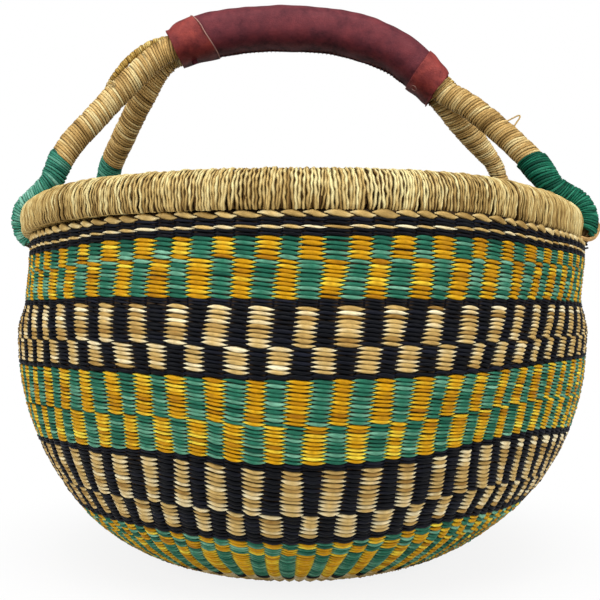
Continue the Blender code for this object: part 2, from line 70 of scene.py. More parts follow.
# How far the rows stray from level, in tenths of a millimetre, at lengths up the wall and degrees
# from the front
STRAY_PARTS = 10000
STRAY_AZIMUTHS = (-120, -75, -50, -38, -27, -16, -8, 0, 10, 20, 29, 37, 47, 70, 120)
STRAY = (
    (0.060, (0, 0, 0, 0, 0, 0, 0, 0, 0, 0, 0, 0, 0, 0, 0)),
    (0.094, (0, 0, 4, 4, -6, -20, -44, -48, -36, 15, 63, 82, 70, 30, 0)),
    (0.149, (0, -30, 34, 36, 56, 41, 6, 0, 10, 38, 90, 115, 120, 45, 0)),
    (0.197, (0, -10, 18, 18, 16, 8, -4, -2, 0, 6, 16, 30, 46, 44, 0)),
    (0.239, (0, 0, 2, 16, 12, 6, 0, -3, 2, 0, -1, 0, 0, -21, 0)),
    (0.260, (0, -30, -18, 4, 14, 10, 4, -2, 1, 10, 15, 10, 6, -6, 0)),
    (0.272, (0, -45, -36, -10, -2, -2, -4, -5, -2, 3, 0, -12, -40, -56, 0)),
    (0.286, (0, -36, -22, -8, 0, 0, 0, 0, 2, 6, 2, -20, -46, -79, 0)),
)

# How far the stakes stray sideways, in tenths of a degree, at lengths up the wall and degrees from
# the front
SWAY_PARTS = 10
SWAY_AZIMUTHS = (-130, -66, -56, -47, -38, -30, -22, -14, -7, 0, 7, 14, 22, 30, 38, 47, 56, 66, 130)
SWAY = (
    (0.0695, (0, -23, -24, -27, -29, -32, -23, -13, -5, 4, 12, 23, 38, 50, 57, 65, 80, 80, 0)),
    (0.0872, (0, -28, -27, -22, -26, -21, -15, -8, -2, 6, 11, 21, 35, 45, 54, 57, 59, 59, 0)),
    (0.1085, (0, -22, -22, -22, -19, -9, -6, -6, -3, 4, 7, 8, 11, 15, 22, 26, 33, 33, 0)),
    (0.1243, (0, -26, -26, -25, -12, -4, 0, -3, -3, -1, 3, 4, 6, 13, 17, 12, 11, 11, 0)),
    (0.1380, (0, -35, -35, -22, -4, 3, 4, -1, -3, -1, 0, 0, -2, -4, -4, -8, -12, -12, 0)),
    (0.1605, (0, -31, -31, -15, 5, 12, 8, 3, -1, -3, -4, -7, -14, -21, -24, -27, -36, -36, 0)),
    (0.1843, (0, -12, -12, -6, 6, 10, 7, 0, -1, -2, -3, -5, -10, -18, -24, -25, -30, -30, 0)),
    (0.2070, (0, -4, -4, -6, -2, 0, -2, -2, -3, -3, -3, -2, -3, -4, -9, -17, -21, -21, 0)),
    (0.2200, (0, -12, -12, -13, -13, -10, -7, -4, -3, -3, -2, 0, 3, 4, 3, -4, -8, -8, 0)),
    (0.2305, (0, -40, -40, -36, -27, -21, -12, -5, -2, -1, 1, 4, 9, 13, 19, 20, 20, 20, 0)),
    (0.2450, (0, -63, -63, -57, -44, -31, -17, -10, -5, -2, 2, 8, 16, 26, 37, 48, 50, 50, 0)),
    (0.2548, (0, -69, -69, -61, -43, -29, -18, -10, -5, 0, 6, 11, 17, 27, 40, 53, 55, 55, 0)),
    (0.2665, (0, -75, -75, -65, -44, -28, -15, -8, -5, 0, 5, 11, 16, 27, 41, 53, 55, 55, 0)),
)

# How far the wall's middle stands to the right, in metres, at heights above the floor: it was
# woven by hand and isn't quite true
DRIFT_HEIGHTS = (0.0, 0.030, 0.060, 0.090, 0.150, 0.185, 0.205, 0.229)
DRIFT = (-0.0040, -0.0030, 0.0, 0.0006, 0.0006, 0.0014, 0.0036, 0.0044)

# A stitch is the length of straw that shows outside one stake. It is flat and wide over the stake,
# and runs out into a point on both sides, the right one lower than the left.
STITCH_LIFT = 0.00135
STITCH_HALF_THICKNESS = 0.00105
STITCH_SLANT = 0.00045
STITCH_TIP_SHARE = 0.08
STITCH_TIP_THICKNESS_SHARE = 0.6
STITCH_FILL_SHARE = 1.14
STITCH_OVERHANG = 0.25
LIFT_POWER = 0.80
SWELL_POWER = 0.92
# Where a stitch dives in between the stakes its colour is painted darker, as shade: the share it keeps at
# the crossing, and the share of its crest over which that fades out
CROSSING_PAINTED_SHADE = 0.32
CROSSING_PAINTED_SHADE_RUN = 0.20
# The sides of every straw are painted darker by this share, as shade between the straws
EDGE_PAINTED_SHADE = 0.46
FINE_STATIONS = (0.0, 0.22, 0.38, 0.50, 0.62, 0.78)
PLAIN_STATIONS = (0.0, 0.26, 0.44, 0.56, 0.74)
COARSE_STATIONS = (0.0, 0.32, 0.50, 0.68)
# How unevenly a hand twines: each stitch's size, its place in the row and its lift, as shares
STITCH_VARIES = (0.13, 0.08, 0.07)
# The tone of the straws, from 0, deep, to 1, pale. It varies from row to row and from stitch to
# stitch, and a straw lasts for seven stitches or so before the next is laid in
TONE_MIDDLE = 0.40
TONE_VARIES = 0.10
STRAW_TONE_VARIES = 0.12
STRAW_STITCHES = 7
# The pointed ends of each stitch are painted paler by up to this much tone, as a highlight
TIP_PAINTED_HIGHLIGHT = 0.50

# Elephant grass takes dye unevenly, so each dye has a deep, a usual and a pale tone
DYES = {
    "natural": ("#9A7436", "#D0AF6B", "#FFF4CC"),
    "yellow": ("#A26A04", "#D29A08", "#FFE84C"),
    "green": ("#0E4838", "#2B7259", "#82BC9E"),
    "black": ("#020308", "#06080F", "#181B28"),
}


def linear(code):
    """Linear colour of an sRGB hex code."""
    parts = np.array([int(code[i : i + 2], 16) for i in (1, 3, 5)]) / 255.0
    return np.where(parts <= 0.04045, parts / 12.92, ((parts + 0.055) / 1.055) ** 2.4)


def tones(dye, amount):
    """Colours of a dye for amounts from 0, deep, to 1, pale."""
    codes = np.array([linear(code) for code in DYES[dye]])
    return np.stack([np.interp(amount, (0.0, 0.5, 1.0), codes[:, i]) for i in range(3)], axis=-1)


def eased(share):
    """A share from 0 to 1 that starts and ends gently."""
    return share * share * (3.0 - 2.0 * share)


def wall_outline():
    """Outside of the wall as lengths up it, radii and heights; the flat bottom has lengths under zero."""
    rise = (np.arange(OUTLINE_STEPS + 1) / OUTLINE_STEPS) ** CROWDING_POWER
    reach = (1.0 - (1.0 - rise) ** FLANK_RISE_POWER) ** (1.0 / FLANK_REACH_POWER)
    flank_radius = BASE_RADIUS + (BELLY_RADIUS - BASE_RADIUS) * reach
    flank_height = BELLY_HEIGHT * rise
    neck_height = np.linspace(BELLY_HEIGHT, WALL_HEIGHT, OUTLINE_STEPS + 1)[1:]
    ease = eased(np.minimum(1.0, (neck_height - BELLY_HEIGHT) / NECK_RISE))
    neck_radius = BELLY_RADIUS - (BELLY_RADIUS - NECK_RADIUS) * ease
    radii = np.concatenate([flank_radius, neck_radius])
    heights = np.concatenate([flank_height, neck_height])
    runs = np.concatenate([[0.0], np.cumsum(np.hypot(np.diff(radii), np.diff(heights)))])
    radii = np.concatenate([[0.0], radii])
    heights = np.concatenate([[0.0], heights])
    return np.concatenate([[-BASE_RADIUS], runs]), radii, heights


RUNS, RADII, HEIGHTS = wall_outline()
SLOPES = np.stack([np.gradient(RADII, RUNS), np.gradient(HEIGHTS, RUNS)])
SLOPES /= np.hypot(*SLOPES)


def wall_frame(run, azimuth, lift):
    """Points at a length up the wall, degrees from the front and a lift from the wall's middle.

    Also gives the wall's directions there: outwards and upwards.
    """
    radius = np.interp(run, RUNS, RADII)
    height = np.interp(run, RUNS, HEIGHTS)
    slope_out = np.interp(run, RUNS, SLOPES[0])
    slope_up = np.interp(run, RUNS, SLOPES[1])
    depth = lift - WALL_THICKNESS / 2
    radius = radius + slope_up * depth
    height = height - slope_out * depth
    turn = np.radians(azimuth)
    sine, cosine = np.sin(turn), -np.cos(turn)
    drift = np.interp(height, DRIFT_HEIGHTS, DRIFT)
    place = np.stack([radius * sine + drift, radius * cosine, height], axis=-1)
    out = np.stack([slope_up * sine, slope_up * cosine, -slope_out], axis=-1)
    up = np.stack([slope_out * sine, slope_out * cosine, slope_up], axis=-1)
    return place, out, up


def stake_azimuths():
    """Degrees of every stake, with the spacing eased from one stretch to the next."""
    numbers = np.array([number for number, _ in STAKE_PLACES])
    degrees = np.array([place for _, place in STAKE_PLACES])
    numbers = np.append(numbers, numbers[0] + STAKES)
    degrees = np.append(degrees, degrees[0] + 360.0)
    first = numbers[0]
    steps = np.diff(np.interp(np.arange(first, first + STAKES + 1), numbers, degrees))
    for _ in range(SPACING_ROUNDS):
        steps = (np.roll(steps, 1) + steps + np.roll(steps, -1)) / 3
    places = degrees[0] + np.concatenate([[0.0], np.cumsum(steps)])
    return first, places


FIRST_STAKE, STAKE_DEGREES = stake_azimuths()


def from_front(azimuth):
    """Degrees from the front, from -180 to 180."""
    return (np.asarray(azimuth) + 180.0) % 360.0 - 180.0


def sway(place, run):
    """Degrees by which the stakes stray sideways at azimuths and lengths up the wall."""
    around = from_front(place)
    rows = np.array([np.interp(around, SWAY_AZIMUTHS, np.array(row) / SWAY_PARTS) for _, row in SWAY])
    level = np.interp(run, [row[0] for row in SWAY], np.arange(len(SWAY))) * np.ones(around.shape)
    low = np.minimum(level.astype(int), len(SWAY) - 2)
    share = level - low
    below, above = (np.take_along_axis(rows, index[None], axis=0)[0] for index in (low, low + 1))
    return below * (1.0 - share) + above * share


def azimuth_of(stake, run):
    """Degrees of a place between the stakes, which lean as they rise."""
    turns, rest = np.divmod(stake - FIRST_STAKE, STAKES)
    place = np.interp(rest, np.arange(STAKES + 1), STAKE_DEGREES) + 360.0 * turns
    wander = sum(np.sin(stake * across + run * up) for across, up in WANDER_WAVES)
    place = place + STAKE_LEAN * (run - STAKE_LEAN_RUN) + STAKE_WANDER * wander / 2
    place = place + sway(place, run)
    drift = np.interp(np.interp(run, RUNS, HEIGHTS), DRIFT_HEIGHTS, DRIFT)
    radius = np.maximum(np.interp(run, RUNS, RADII), BASE_RADIUS)
    return place - np.degrees(drift / radius) * np.cos(np.radians(place))


def strayed(run, azimuth):
    """Length up the wall of a row that would be level at run, at each azimuth."""
    runs = [row[0] for row in STRAY]
    around = from_front(azimuth)
    by_row = [np.interp(around, STRAY_AZIMUTHS, np.array(row) / STRAY_PARTS) for _, row in STRAY]
    index = int(np.clip(np.searchsorted(runs, run) - 1, 0, len(runs) - 2))
    share = np.clip((run - runs[index]) / (runs[index + 1] - runs[index]), 0.0, 1.0)
    return run + by_row[index] * (1.0 - share) + by_row[index + 1] * share


# The fibre pattern's place round a straw runs from 0 to half of this, and each straw's own fibres
# are set this far from the next straw's. Each straw also has a cell on the flat map, with a margin.
FIBRE_ROUND = 6.0
FIBRE_SHIFT = 3.7
CELL_MARGIN_U = 0.04
CELL_MARGIN_V = 0.06


def straw_mesh(name, middle, across, along, thick, wide, tint, ring, closed, columns=1, edge=EDGE_PAINTED_SHADE):
    """Many straws as one mesh: at each station of each straw stands an oval section.

    It is thick in the direction across and wide in the direction along. Three things go with each
    point: its tint, its place on the straw in millimetres for the fibre, and a cell on a flat map.
    The tint is painted darker towards the straw's sides by the edge share, as shade between straws.
    A straw with six sides shows a flat one outwards, and one with fewer sides a corner.
    """
    strands, stations = middle.shape[:2]
    turn = 2 * np.pi * (np.arange(ring) + (0.5 if ring == 6 else 0.0)) / ring
    points = (
        middle[:, :, None, :]
        + np.cos(turn)[:, None] * (across * thick[..., None])[:, :, None, :]
        + np.sin(turn)[:, None] * (along * wide[..., None])[:, :, None, :]
    )
    spans = stations if closed else stations - 1
    strand, span, side = np.meshgrid(np.arange(strands), np.arange(spans), np.arange(ring), indexing="ij")
    ahead = (span + 1) % stations
    around = (side + 1) % ring
    corners = ((span, side), (ahead, side), (ahead, around), (span, around))
    quads = np.stack([(strand * stations + station) * ring + place for station, place in corners], axis=-1)
    corner_span = np.stack([span, span + 1, span + 1, span], axis=-1)
    corner_side = np.stack([side, side, side + 1, side + 1], axis=-1)
    forward = middle[0, 1] - middle[0, 0]
    inside_out = np.dot(np.cross(forward, along[0, 0]), across[0, 0]) < 0
    if inside_out:
        quads, corner_span, corner_side = quads[..., ::-1], corner_span[..., ::-1], corner_side[..., ::-1]
    rows = -(-strands // columns)
    column, row = strand // rows, strand % rows
    cell_u = (column[..., None] + CELL_MARGIN_U + (1.0 - 2 * CELL_MARGIN_U) * corner_span / spans) / columns
    cell_v = (row[..., None] + CELL_MARGIN_V + (1.0 - 2 * CELL_MARGIN_V) * corner_side / ring) / rows
    loops = quads.reshape(-1)
    flat = np.stack([cell_u, cell_v], axis=-1).reshape(-1, 2)
    starts = np.arange(0, len(loops), 4)
    if not closed:
        ends = []
        for station, order in ((0, 1), (stations - 1, -1)):
            base = (np.arange(strands)[:, None] * stations + station) * ring
            ends.append((base + np.arange(ring))[:, :: -order if inside_out else order])
        ends = np.concatenate(ends)
        starts = np.concatenate([starts, len(loops) + np.arange(len(ends)) * ring])
        loops = np.concatenate([loops, ends.reshape(-1)])
        flat = np.concatenate([flat, np.zeros((ends.size, 2))])

    mesh = bpy.data.meshes.new(name)
    mesh.vertices.add(strands * stations * ring)
    mesh.vertices.foreach_set("co", points.astype(np.float32).reshape(-1))
    mesh.loops.add(len(loops))
    mesh.loops.foreach_set("vertex_index", loops.astype(np.int32))
    mesh.polygons.add(len(starts))
    mesh.polygons.foreach_set("loop_start", starts.astype(np.int32))
    mesh.update(calc_edges=True)
    mesh.shade_smooth()

    colours = np.ones((strands, stations, ring, 4), np.float32)
    # The tint is painted darker towards each straw's sides: painted shade
    colours[..., :3] = tint[:, :, None, :] * (1.0 - edge * np.sin(turn) ** 2)[:, None]
    mesh.attributes.new("tint", "FLOAT_COLOR", "POINT").data.foreach_set("color", colours.reshape(-1))
    steps = np.linalg.norm(np.diff(middle, axis=1), axis=-1) * 1000.0
    length = np.concatenate([np.zeros((strands, 1)), np.cumsum(steps, axis=1)], axis=1)
    fibre = np.zeros((strands, stations, ring, 3), np.float32)
    fibre[..., 0] = length[:, :, None]
    fibre[..., 1] = np.abs(np.arange(ring) / ring - 0.5) * FIBRE_ROUND
    fibre[..., 2] = np.arange(strands)[:, None, None] * FIBRE_SHIFT
    mesh.attributes.new("fibre", "FLOAT_VECTOR", "POINT").data.foreach_set("vector", fibre.reshape(-1))
    mesh.uv_layers.new(name="OFBake").data.foreach_set("uv", flat.astype(np.float32).reshape(-1))
    made = bpy.data.objects.new(name, mesh)
    bpy.context.scene.collection.objects.link(made)
    return made


def add_node(tree, kind, settings=(), links=()):
    """A shader node with its settings, by property or input, and links from other nodes' outputs."""
    node = tree.nodes.new("ShaderNode" + kind)
    for key, value in dict(settings).items():
        if isinstance(key, str) and hasattr(node, key):
            setattr(node, key, value)
        else:
            node.inputs[key].default_value = value
    for key, output in dict(links).items():
        tree.links.new(output, node.inputs[key])
    return node


# Grass fibres are 4 to 5 mm long and about half a millimetre apart, and the blotches that the dye
# leaves are about 3 mm long. Both are given for each millimetre along the straw and across it.
FIBRE_SCALE = (0.22, 2.1, 1.0)
BLOTCH_SCALE = (0.35, 0.3, 1.0)
BLOTCH_SHADES = (0.86, 1.12)
FIBRE_RELIEF = 0.00025
GRASS_SPECULAR = 0.10


def grass_finish(name, roughness, depth):
    """Elephant grass straw, split, dyed or plain: long fibres along each straw, with a waxy shine.

    The depth says how much darker and paler the fibres are than the straw between them.
    """
    finish = bpy.data.materials.new(name)
    finish.use_nodes = True
    tree = finish.node_tree
    shader = tree.nodes["Principled BSDF"]
    tint = add_node(tree, "Attribute", {"attribute_name": "tint"})
    fibre = add_node(tree, "Attribute", {"attribute_name": "fibre"})
    stretch = add_node(
        tree, "VectorMath", {"operation": "MULTIPLY", 1: FIBRE_SCALE}, {0: fibre.outputs["Vector"]}
    )
    streaks = add_node(
        tree, "TexNoise", {"Scale": 1.0, "Detail": 3.0, "Roughness": 0.6}, {"Vector": stretch.outputs[0]}
    )
    spread = add_node(
        tree, "VectorMath", {"operation": "MULTIPLY", 1: BLOTCH_SCALE}, {0: fibre.outputs["Vector"]}
    )
    blotches = add_node(
        tree, "TexNoise", {"Scale": 1.0, "Detail": 2.0, "Roughness": 0.5}, {"Vector": spread.outputs[0]}
    )
    shade = add_node(
        tree,
        "MapRange",
        {"From Min": 0.3, "From Max": 0.7, "To Min": 1.0 - depth, "To Max": 1.0 + depth * 0.8},
        {"Value": streaks.outputs["Fac"]},
    )
    patch = add_node(
        tree,
        "MapRange",
        {"From Min": 0.3, "From Max": 0.7, "To Min": BLOTCH_SHADES[0], "To Max": BLOTCH_SHADES[1]},
        {"Value": blotches.outputs["Fac"]},
    )
    both = add_node(tree, "Math", {"operation": "MULTIPLY"}, {0: shade.outputs[0], 1: patch.outputs[0]})
    colour = add_node(
        tree, "VectorMath", {"operation": "SCALE"}, {0: tint.outputs["Color"], "Scale": both.outputs[0]}
    )
    tree.links.new(colour.outputs[0], shader.inputs["Base Color"])
    shine = add_node(
        tree,
        "MapRange",
        {"From Min": 0.2, "From Max": 0.8, "To Min": roughness + 0.12, "To Max": roughness - 0.08},
        {"Value": streaks.outputs["Fac"]},
    )
    tree.links.new(shine.outputs[0], shader.inputs["Roughness"])
    relief = add_node(
        tree, "Bump", {"Strength": 0.45, "Distance": FIBRE_RELIEF}, {"Height": streaks.outputs["Fac"]}
    )
    tree.links.new(relief.outputs[0], shader.inputs["Normal"])
    shader.inputs["Specular IOR Level"].default_value = GRASS_SPECULAR
    return finish


TWINED_GRASS = grass_finish("twined elephant grass", 0.46, 0.22)


def twine(
    name, node, courses, seed, stations=FINE_STATIONS, ring=6, stakes=STAKES, slant=STITCH_SLANT
):
    """Rows of paired straws as one piece. A course is (low, high, rows, even dye, odd dye).

    One straw of a pair passes outside the even stakes, and the other outside the odd ones. They
    cross between the stakes, the one that comes out above the one that goes in.
    """
    draw = np.random.default_rng(seed)
    stake = (np.arange(stakes)[:, None] + np.array(stations)).reshape(-1)
    stitch = np.floor(stake + 0.5).astype(int) % stakes
    parts = []
    for low, high, rows, even, odd in courses:
        around = azimuth_of(stake * STAKES / stakes, (low + high) / 2)
        low_edge, high_edge = strayed(low, around), strayed(high, around)
        pitch = (high_edge - low_edge) / rows
        for row in range(rows):
            level = low_edge + (high_edge - low_edge) * (row + 0.5) / rows
            for start, dye in ((0, even), (1, odd)):
                phase = np.pi * (stake - start)
                crest = np.cos(phase) + STITCH_OVERHANG
                crest = crest / np.where(crest > 0, 1.0 + STITCH_OVERHANG, 1.0 - STITCH_OVERHANG)
                swell = np.abs(crest) ** SWELL_POWER
                varied = [draw.normal(0.0, spread, stakes)[stitch] * swell for spread in STITCH_VARIES]
                size = 1.0 + varied[0]
                run = level - np.sin(phase) * slant + varied[1] * pitch
                lift = STITCH_LIFT * np.sign(crest) * np.abs(crest) ** LIFT_POWER * (1.0 + varied[2])
                straws = draw.normal(0.0, STRAW_TONE_VARIES, -(-stakes // STRAW_STITCHES))
                tone = TONE_MIDDLE + draw.normal(0.0, TONE_VARIES)
                tone = tone + np.repeat(straws, STRAW_STITCHES)[:stakes]
                tone = tone + draw.normal(0.0, TONE_VARIES, stakes)
                # The tone is raised towards the stitch's tips: a painted highlight
                amount = np.clip(tone[stitch] + TIP_PAINTED_HIGHLIGHT * (1.0 - swell), 0.0, 1.0)
                # Painted shade: the stitch is darkened where it crosses between the stakes
                crossing_unshaded = np.clip(np.abs(crest) / CROSSING_PAINTED_SHADE_RUN, 0.0, 1.0)
                tint = tones(dye, amount) * (CROSSING_PAINTED_SHADE + (1.0 - CROSSING_PAINTED_SHADE) * crossing_unshaded)[:, None]
                half = pitch / 2 * STITCH_FILL_SHARE * size
                half = half * (STITCH_TIP_SHARE + (1.0 - STITCH_TIP_SHARE) * swell)
                thick = STITCH_TIP_THICKNESS_SHARE + (1.0 - STITCH_TIP_THICKNESS_SHARE) * swell
                thick = STITCH_HALF_THICKNESS * size * thick
                place, out, up = wall_frame(run, azimuth_of(stake * STAKES / stakes, run), lift)
                parts.append((place, out, up, thick, half, tint))
    arrays = [np.stack(column) for column in zip(*parts)]
    made = straw_mesh(name, *arrays, ring, closed=True)
    made.data.materials.append(TWINED_GRASS)
    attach(made, "root")
    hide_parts(node)


ROW_PITCH = 0.0026
FLOOR_EDGES = (0.0022, 0.0100, 0.0225, 0.0430, 0.0640, 0.0810)
FLOOR_STAKES = (8, 16, 32, 62, 124)
for zone, zone_stakes in enumerate(FLOOR_STAKES):
    inner, outer = FLOOR_EDGES[zone : zone + 2]
    rows = round((outer - inner) / ROW_PITCH)
    twine(
        f"floor_twining_{zone + 1}",
        "base_disc",
        [(inner - BASE_RADIUS, outer - BASE_RADIUS, rows, "natural", "natural")],
        seed=10 + zone,
        stations=COARSE_STATIONS,
        ring=5,
        stakes=zone_stakes,
    )

# The weaving starts from a few short straws that cross each other in the middle of the bottom
START_STRAWS = 12
START_STATIONS = 6
START_MIDDLE = 0.0004
START_REACH = 0.014
START_HALF_WIDTH = 0.0013
START_TONE = 0.35
grid = np.ones((START_STRAWS, START_STATIONS))
start_run = -BASE_RADIUS + np.linspace(START_MIDDLE, START_REACH, START_STATIONS) * grid
start_azimuth = 360.0 * np.arange(START_STRAWS)[:, None] / START_STRAWS * grid
start_place, start_out, start_up = wall_frame(start_run, start_azimuth, 0.0)
floor_start = straw_mesh(
    "floor_start",
    start_place,
    start_out,
    np.cross(start_up, start_out),
    START_HALF_WIDTH / 2 * grid,
    START_HALF_WIDTH * grid,
    tones("natural", START_TONE * grid),
    6,
    closed=False,
)
floor_start.data.materials.append(TWINED_GRASS)
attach(floor_start, "root")
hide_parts("base_disc")

FLANK_ROWS_TOP = 0.0345
FLANK_TOP = 0.0417
flank_courses = [(0.0, FLANK_ROWS_TOP, 13, "natural", "natural")]
edge_courses = [(FLANK_ROWS_TOP, FLANK_TOP, 3, "black", "natural")]
twine("flank_twining", "base_disc", flank_courses, 20, COARSE_STATIONS, ring=5)
twine("flank_edge_rows", "base_disc", edge_courses, 21)

# Bands of the wall, from the flank to the neck. In each course the light straw covers every other
# stake, and the next course changes over, which makes the check pattern. Rows are counted off the
# real basket, and one or two black rows close each band.
# Each piece has its slot, its node and its courses: (top, rows, even dye, odd dye)
BANDS = (
    ("green_yellow_low_twining", "green_yellow_twining", "green_yellow_low", (
        (0.0800, 13, "green", "yellow"), (0.0882, 3, "yellow", "green"), (0.0942, 2, "green", "yellow"),
    )),
    ("black_rows_1", "black_twining", "black_line_1", ((0.0998, 2, "black", "black"),)),
    ("natural_black_low_under", "natural_black_twining", "natural_black_low", (
        (0.1170, 6, "black", "natural"),
    )),
    ("natural_black_low_over", "natural_black_twining", "natural_black_low", (
        (0.1456, 11, "natural", "black"),
    )),
    ("black_rows_2", "black_twining", "black_line_2", ((0.1492, 2, "black", "black"),)),
    ("green_yellow_mid_under", "green_yellow_twining", "green_yellow_mid", (
        (0.1718, 10, "green", "yellow"),
    )),
    ("green_yellow_mid_over", "green_yellow_twining", "green_yellow_mid", (
        (0.1970, 11, "yellow", "green"),
    )),
    ("black_rows_3", "black_twining", "black_line_3", ((0.2000, 1, "black", "black"),)),
    ("natural_black_high_under", "natural_black_twining", "natural_black_high", (
        (0.2140, 6, "black", "natural"),
    )),
    ("natural_black_high_over", "natural_black_twining", "natural_black_high", (
        (0.2360, 9, "natural", "black"),
    )),
    ("black_rows_4", "black_twining", "black_line_4", ((0.2394, 2, "black", "black"),)),
    ("green_yellow_high_under", "green_yellow_twining", "green_yellow_high", (
        (0.2600, 9, "green", "yellow"),
    )),
    ("green_yellow_high_over", "green_yellow_twining", "green_yellow_high", (
        (0.2730, 5, "yellow", "green"),
    )),
)
low = FLANK_TOP
for number, (name, slot, node, course_tops) in enumerate(BANDS):
    courses = []
    for top, rows, even, odd in course_tops:
        courses.append((low, top, rows, even, odd))
        low = top
    # The lowest band is seen at a slant, and its stitches need less shape
    twine(name, node, courses, 30 + number, FINE_STATIONS if number else PLAIN_STATIONS)

# Border: two black rows, one thin pale row, two more black rows, and a last pair of thick natural
# straws that is twisted hard, so that its stitches lie at a slant like the lay of a rope.
BORDER_SLANT = 0.0009
BORDER_TOP = 0.2860
DYES["twist"] = ("#8C6C36", "#CDAC6A", "#FBEBB8")
border_courses = [
    (0.2730, 0.2767, 2, "black", "black"),
    (0.2767, 0.2785, 1, "natural", "natural"),
    (0.2785, 0.2824, 2, "black", "black"),
]
twist_courses = [(0.2824, BORDER_TOP, 1, "twist", "twist")]
twine("border_rows", "border_twining", border_courses, 50)
twine("border_twist", "border_twining", twist_courses, 51, slant=BORDER_SLANT)

# Stakes: the stiff upright straws that every row is twined round, two side by side in each place.
# They lie in the middle of the wall, where only their edges show between the stitches, and they are painted
# dark there, as shade.
# They end just over the twisted pair, where the rim's binding covers them.
STAKE_HALF_THICKNESS = 0.0007
# Where the two straws stand, as shares of the stakes' spacing: this far to each side of their place
STAKE_SHARE = 0.25
STAKE_FILL_SHARE = 1.04
STAKE_STATIONS = 34
STAKE_START = -0.016
STAKE_OVER_TWIST = 0.0006
# The stakes are natural straw, painted dark brown as shade
DYES["stake"] = ("#1E150C", "#2B1F12", "#3D2C18")

draw = np.random.default_rng(60)
place_number, which = np.divmod(np.arange(STAKES * 2), 2)
beside = (place_number + STAKE_SHARE * (which * 2 - 1))[:, None]
stake_top = strayed(BORDER_TOP, azimuth_of(beside, BORDER_TOP)) + STAKE_OVER_TWIST
stake_runs = STAKE_START + (stake_top - STAKE_START) * np.linspace(0.0, 1.0, STAKE_STATIONS)
stake_place, stake_out, stake_up = wall_frame(stake_runs, azimuth_of(beside, stake_runs), 0.0)
stake_reach = np.hypot(stake_place[..., 0], stake_place[..., 1])
stake_room = azimuth_of(beside + STAKE_SHARE, stake_runs) - azimuth_of(beside - STAKE_SHARE, stake_runs)
stake_width = np.radians(stake_room) * stake_reach / 2 * STAKE_FILL_SHARE
stakes_piece = straw_mesh(
    "stakes",
    stake_place,
    stake_out,
    np.cross(stake_up, stake_out),
    np.full(stake_width.shape, STAKE_HALF_THICKNESS),
    stake_width,
    tones("stake", draw.uniform(0.0, 1.0, (STAKES * 2, 1)) * np.ones(stake_width.shape)),
    6,
    closed=False,
    columns=4,
)
stakes_piece.data.materials.append(TWINED_GRASS)
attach(stakes_piece, "root")

# Rim: the ends of the stakes are bent over, laid round in a thick bundle, and bound with natural
# straw that goes round the bundle and through the wall. Each hole takes a bunch of about a dozen
# straws, so they draw together below the rim and fan out over its top.
SEAT_GAP = 0.0003
RIM_HALF_WIDTH = 0.013
RIM_HALF_DEPTH = 0.01225
RIM_SEAT_SHARE = 0.67
RIM_RADIUS = NECK_RADIUS - WALL_THICKNESS / 2 - RIM_SEAT_SHARE * RIM_HALF_WIDTH
RIM_HEIGHT = WALL_HEIGHT + SEAT_GAP + RIM_HALF_DEPTH * math.sqrt(1.0 - RIM_SEAT_SHARE ** 2)
RIM_TOP = RIM_HEIGHT + RIM_HALF_DEPTH
BUNCHES = STAKES // 2
BUNCH_STRAWS = 13
BUNCH_SHIFT = 0.9
RIM_STATIONS = 36
# The stations stand closer together on the outside, round this turn from the top
RIM_CLOSER = 0.5
RIM_CLOSE_TURN = 1.25
RIM_STRAW_HALF_THICKNESS = 0.0007
RIM_STRAW_HALF_WIDTH = 0.00092
RIM_LAYER_DEPTH = 0.0007
# The binding's straws are painted darker at their sides by this share, as shade between them
RIM_EDGE_PAINTED_SHADE = 0.62
# Below its widest place the binding runs straight down to the holes: degrees from the top, and
# metres outside the oval. That fades to half on the right, over these degrees from the front
RIM_SKIRT = (
    (112, 0.0), (119, 0.0007), (125, 0.0018), (130, 0.0030), (134, 0.0036), (139, 0.0026),
    (145, 0.0011), (152, 0.0),
)
RIM_SKIRT_FADE = (56.0, 74.0)
RIM_SKIRT_SHARES = (1.0, 0.5)
# The rim hangs lower at its sides, where the handle is hooked on, and more so on the right:
# degrees from the front, and shares of the droop
RIM_DROOP = 0.0032
RIM_DROOP_PLACES = (
    (-150, 0.0), (-110, 0.9), (-90, 1.0), (-70, 0.85), (-50, 0.2), (-38, 0.0),
    (28, 0.0), (40, 0.45), (53, 1.2), (63, 1.55), (80, 1.75), (110, 1.5), (150, 0.0),
)
# On the right its lower half hangs down further still: degrees from the front, and metres
RIM_SAG = ((28, 0.0), (40, 0.0018), (53, 0.0032), (70, 0.0036), (110, 0.0034), (150, 0.0))
# The straws draw together from this many degrees below the top, over this many more
GATHER_START = 94.0
GATHER_RUN = 60.0
GATHER_SHARE = 0.10
GATHER_VARIES = 0.06
# Where a bunch's hole is, in stakes past the bunch's start, and how much holes and tops vary
HOLE_SHIFT = 0.8
HOLE_VARIES = 0.15
TOP_VARIES = 0.10
LEAN_VARIES = 0.03
# How the straws wander along the rim and in and out: waves in a whole turn, and how far
RIM_WAVES = ((2, 5, 0.012), (5, 8, 0.014), (10, 15, 0.016))
RIPPLE_WAVES = (2, 5)
RIPPLE_DEPTH = 0.00025
DEPTH_VARIES = 0.00020
PINCH_WAVES = (9, 15)
PINCH_SHARE = 0.20
WIDTH_VARIES = 0.10
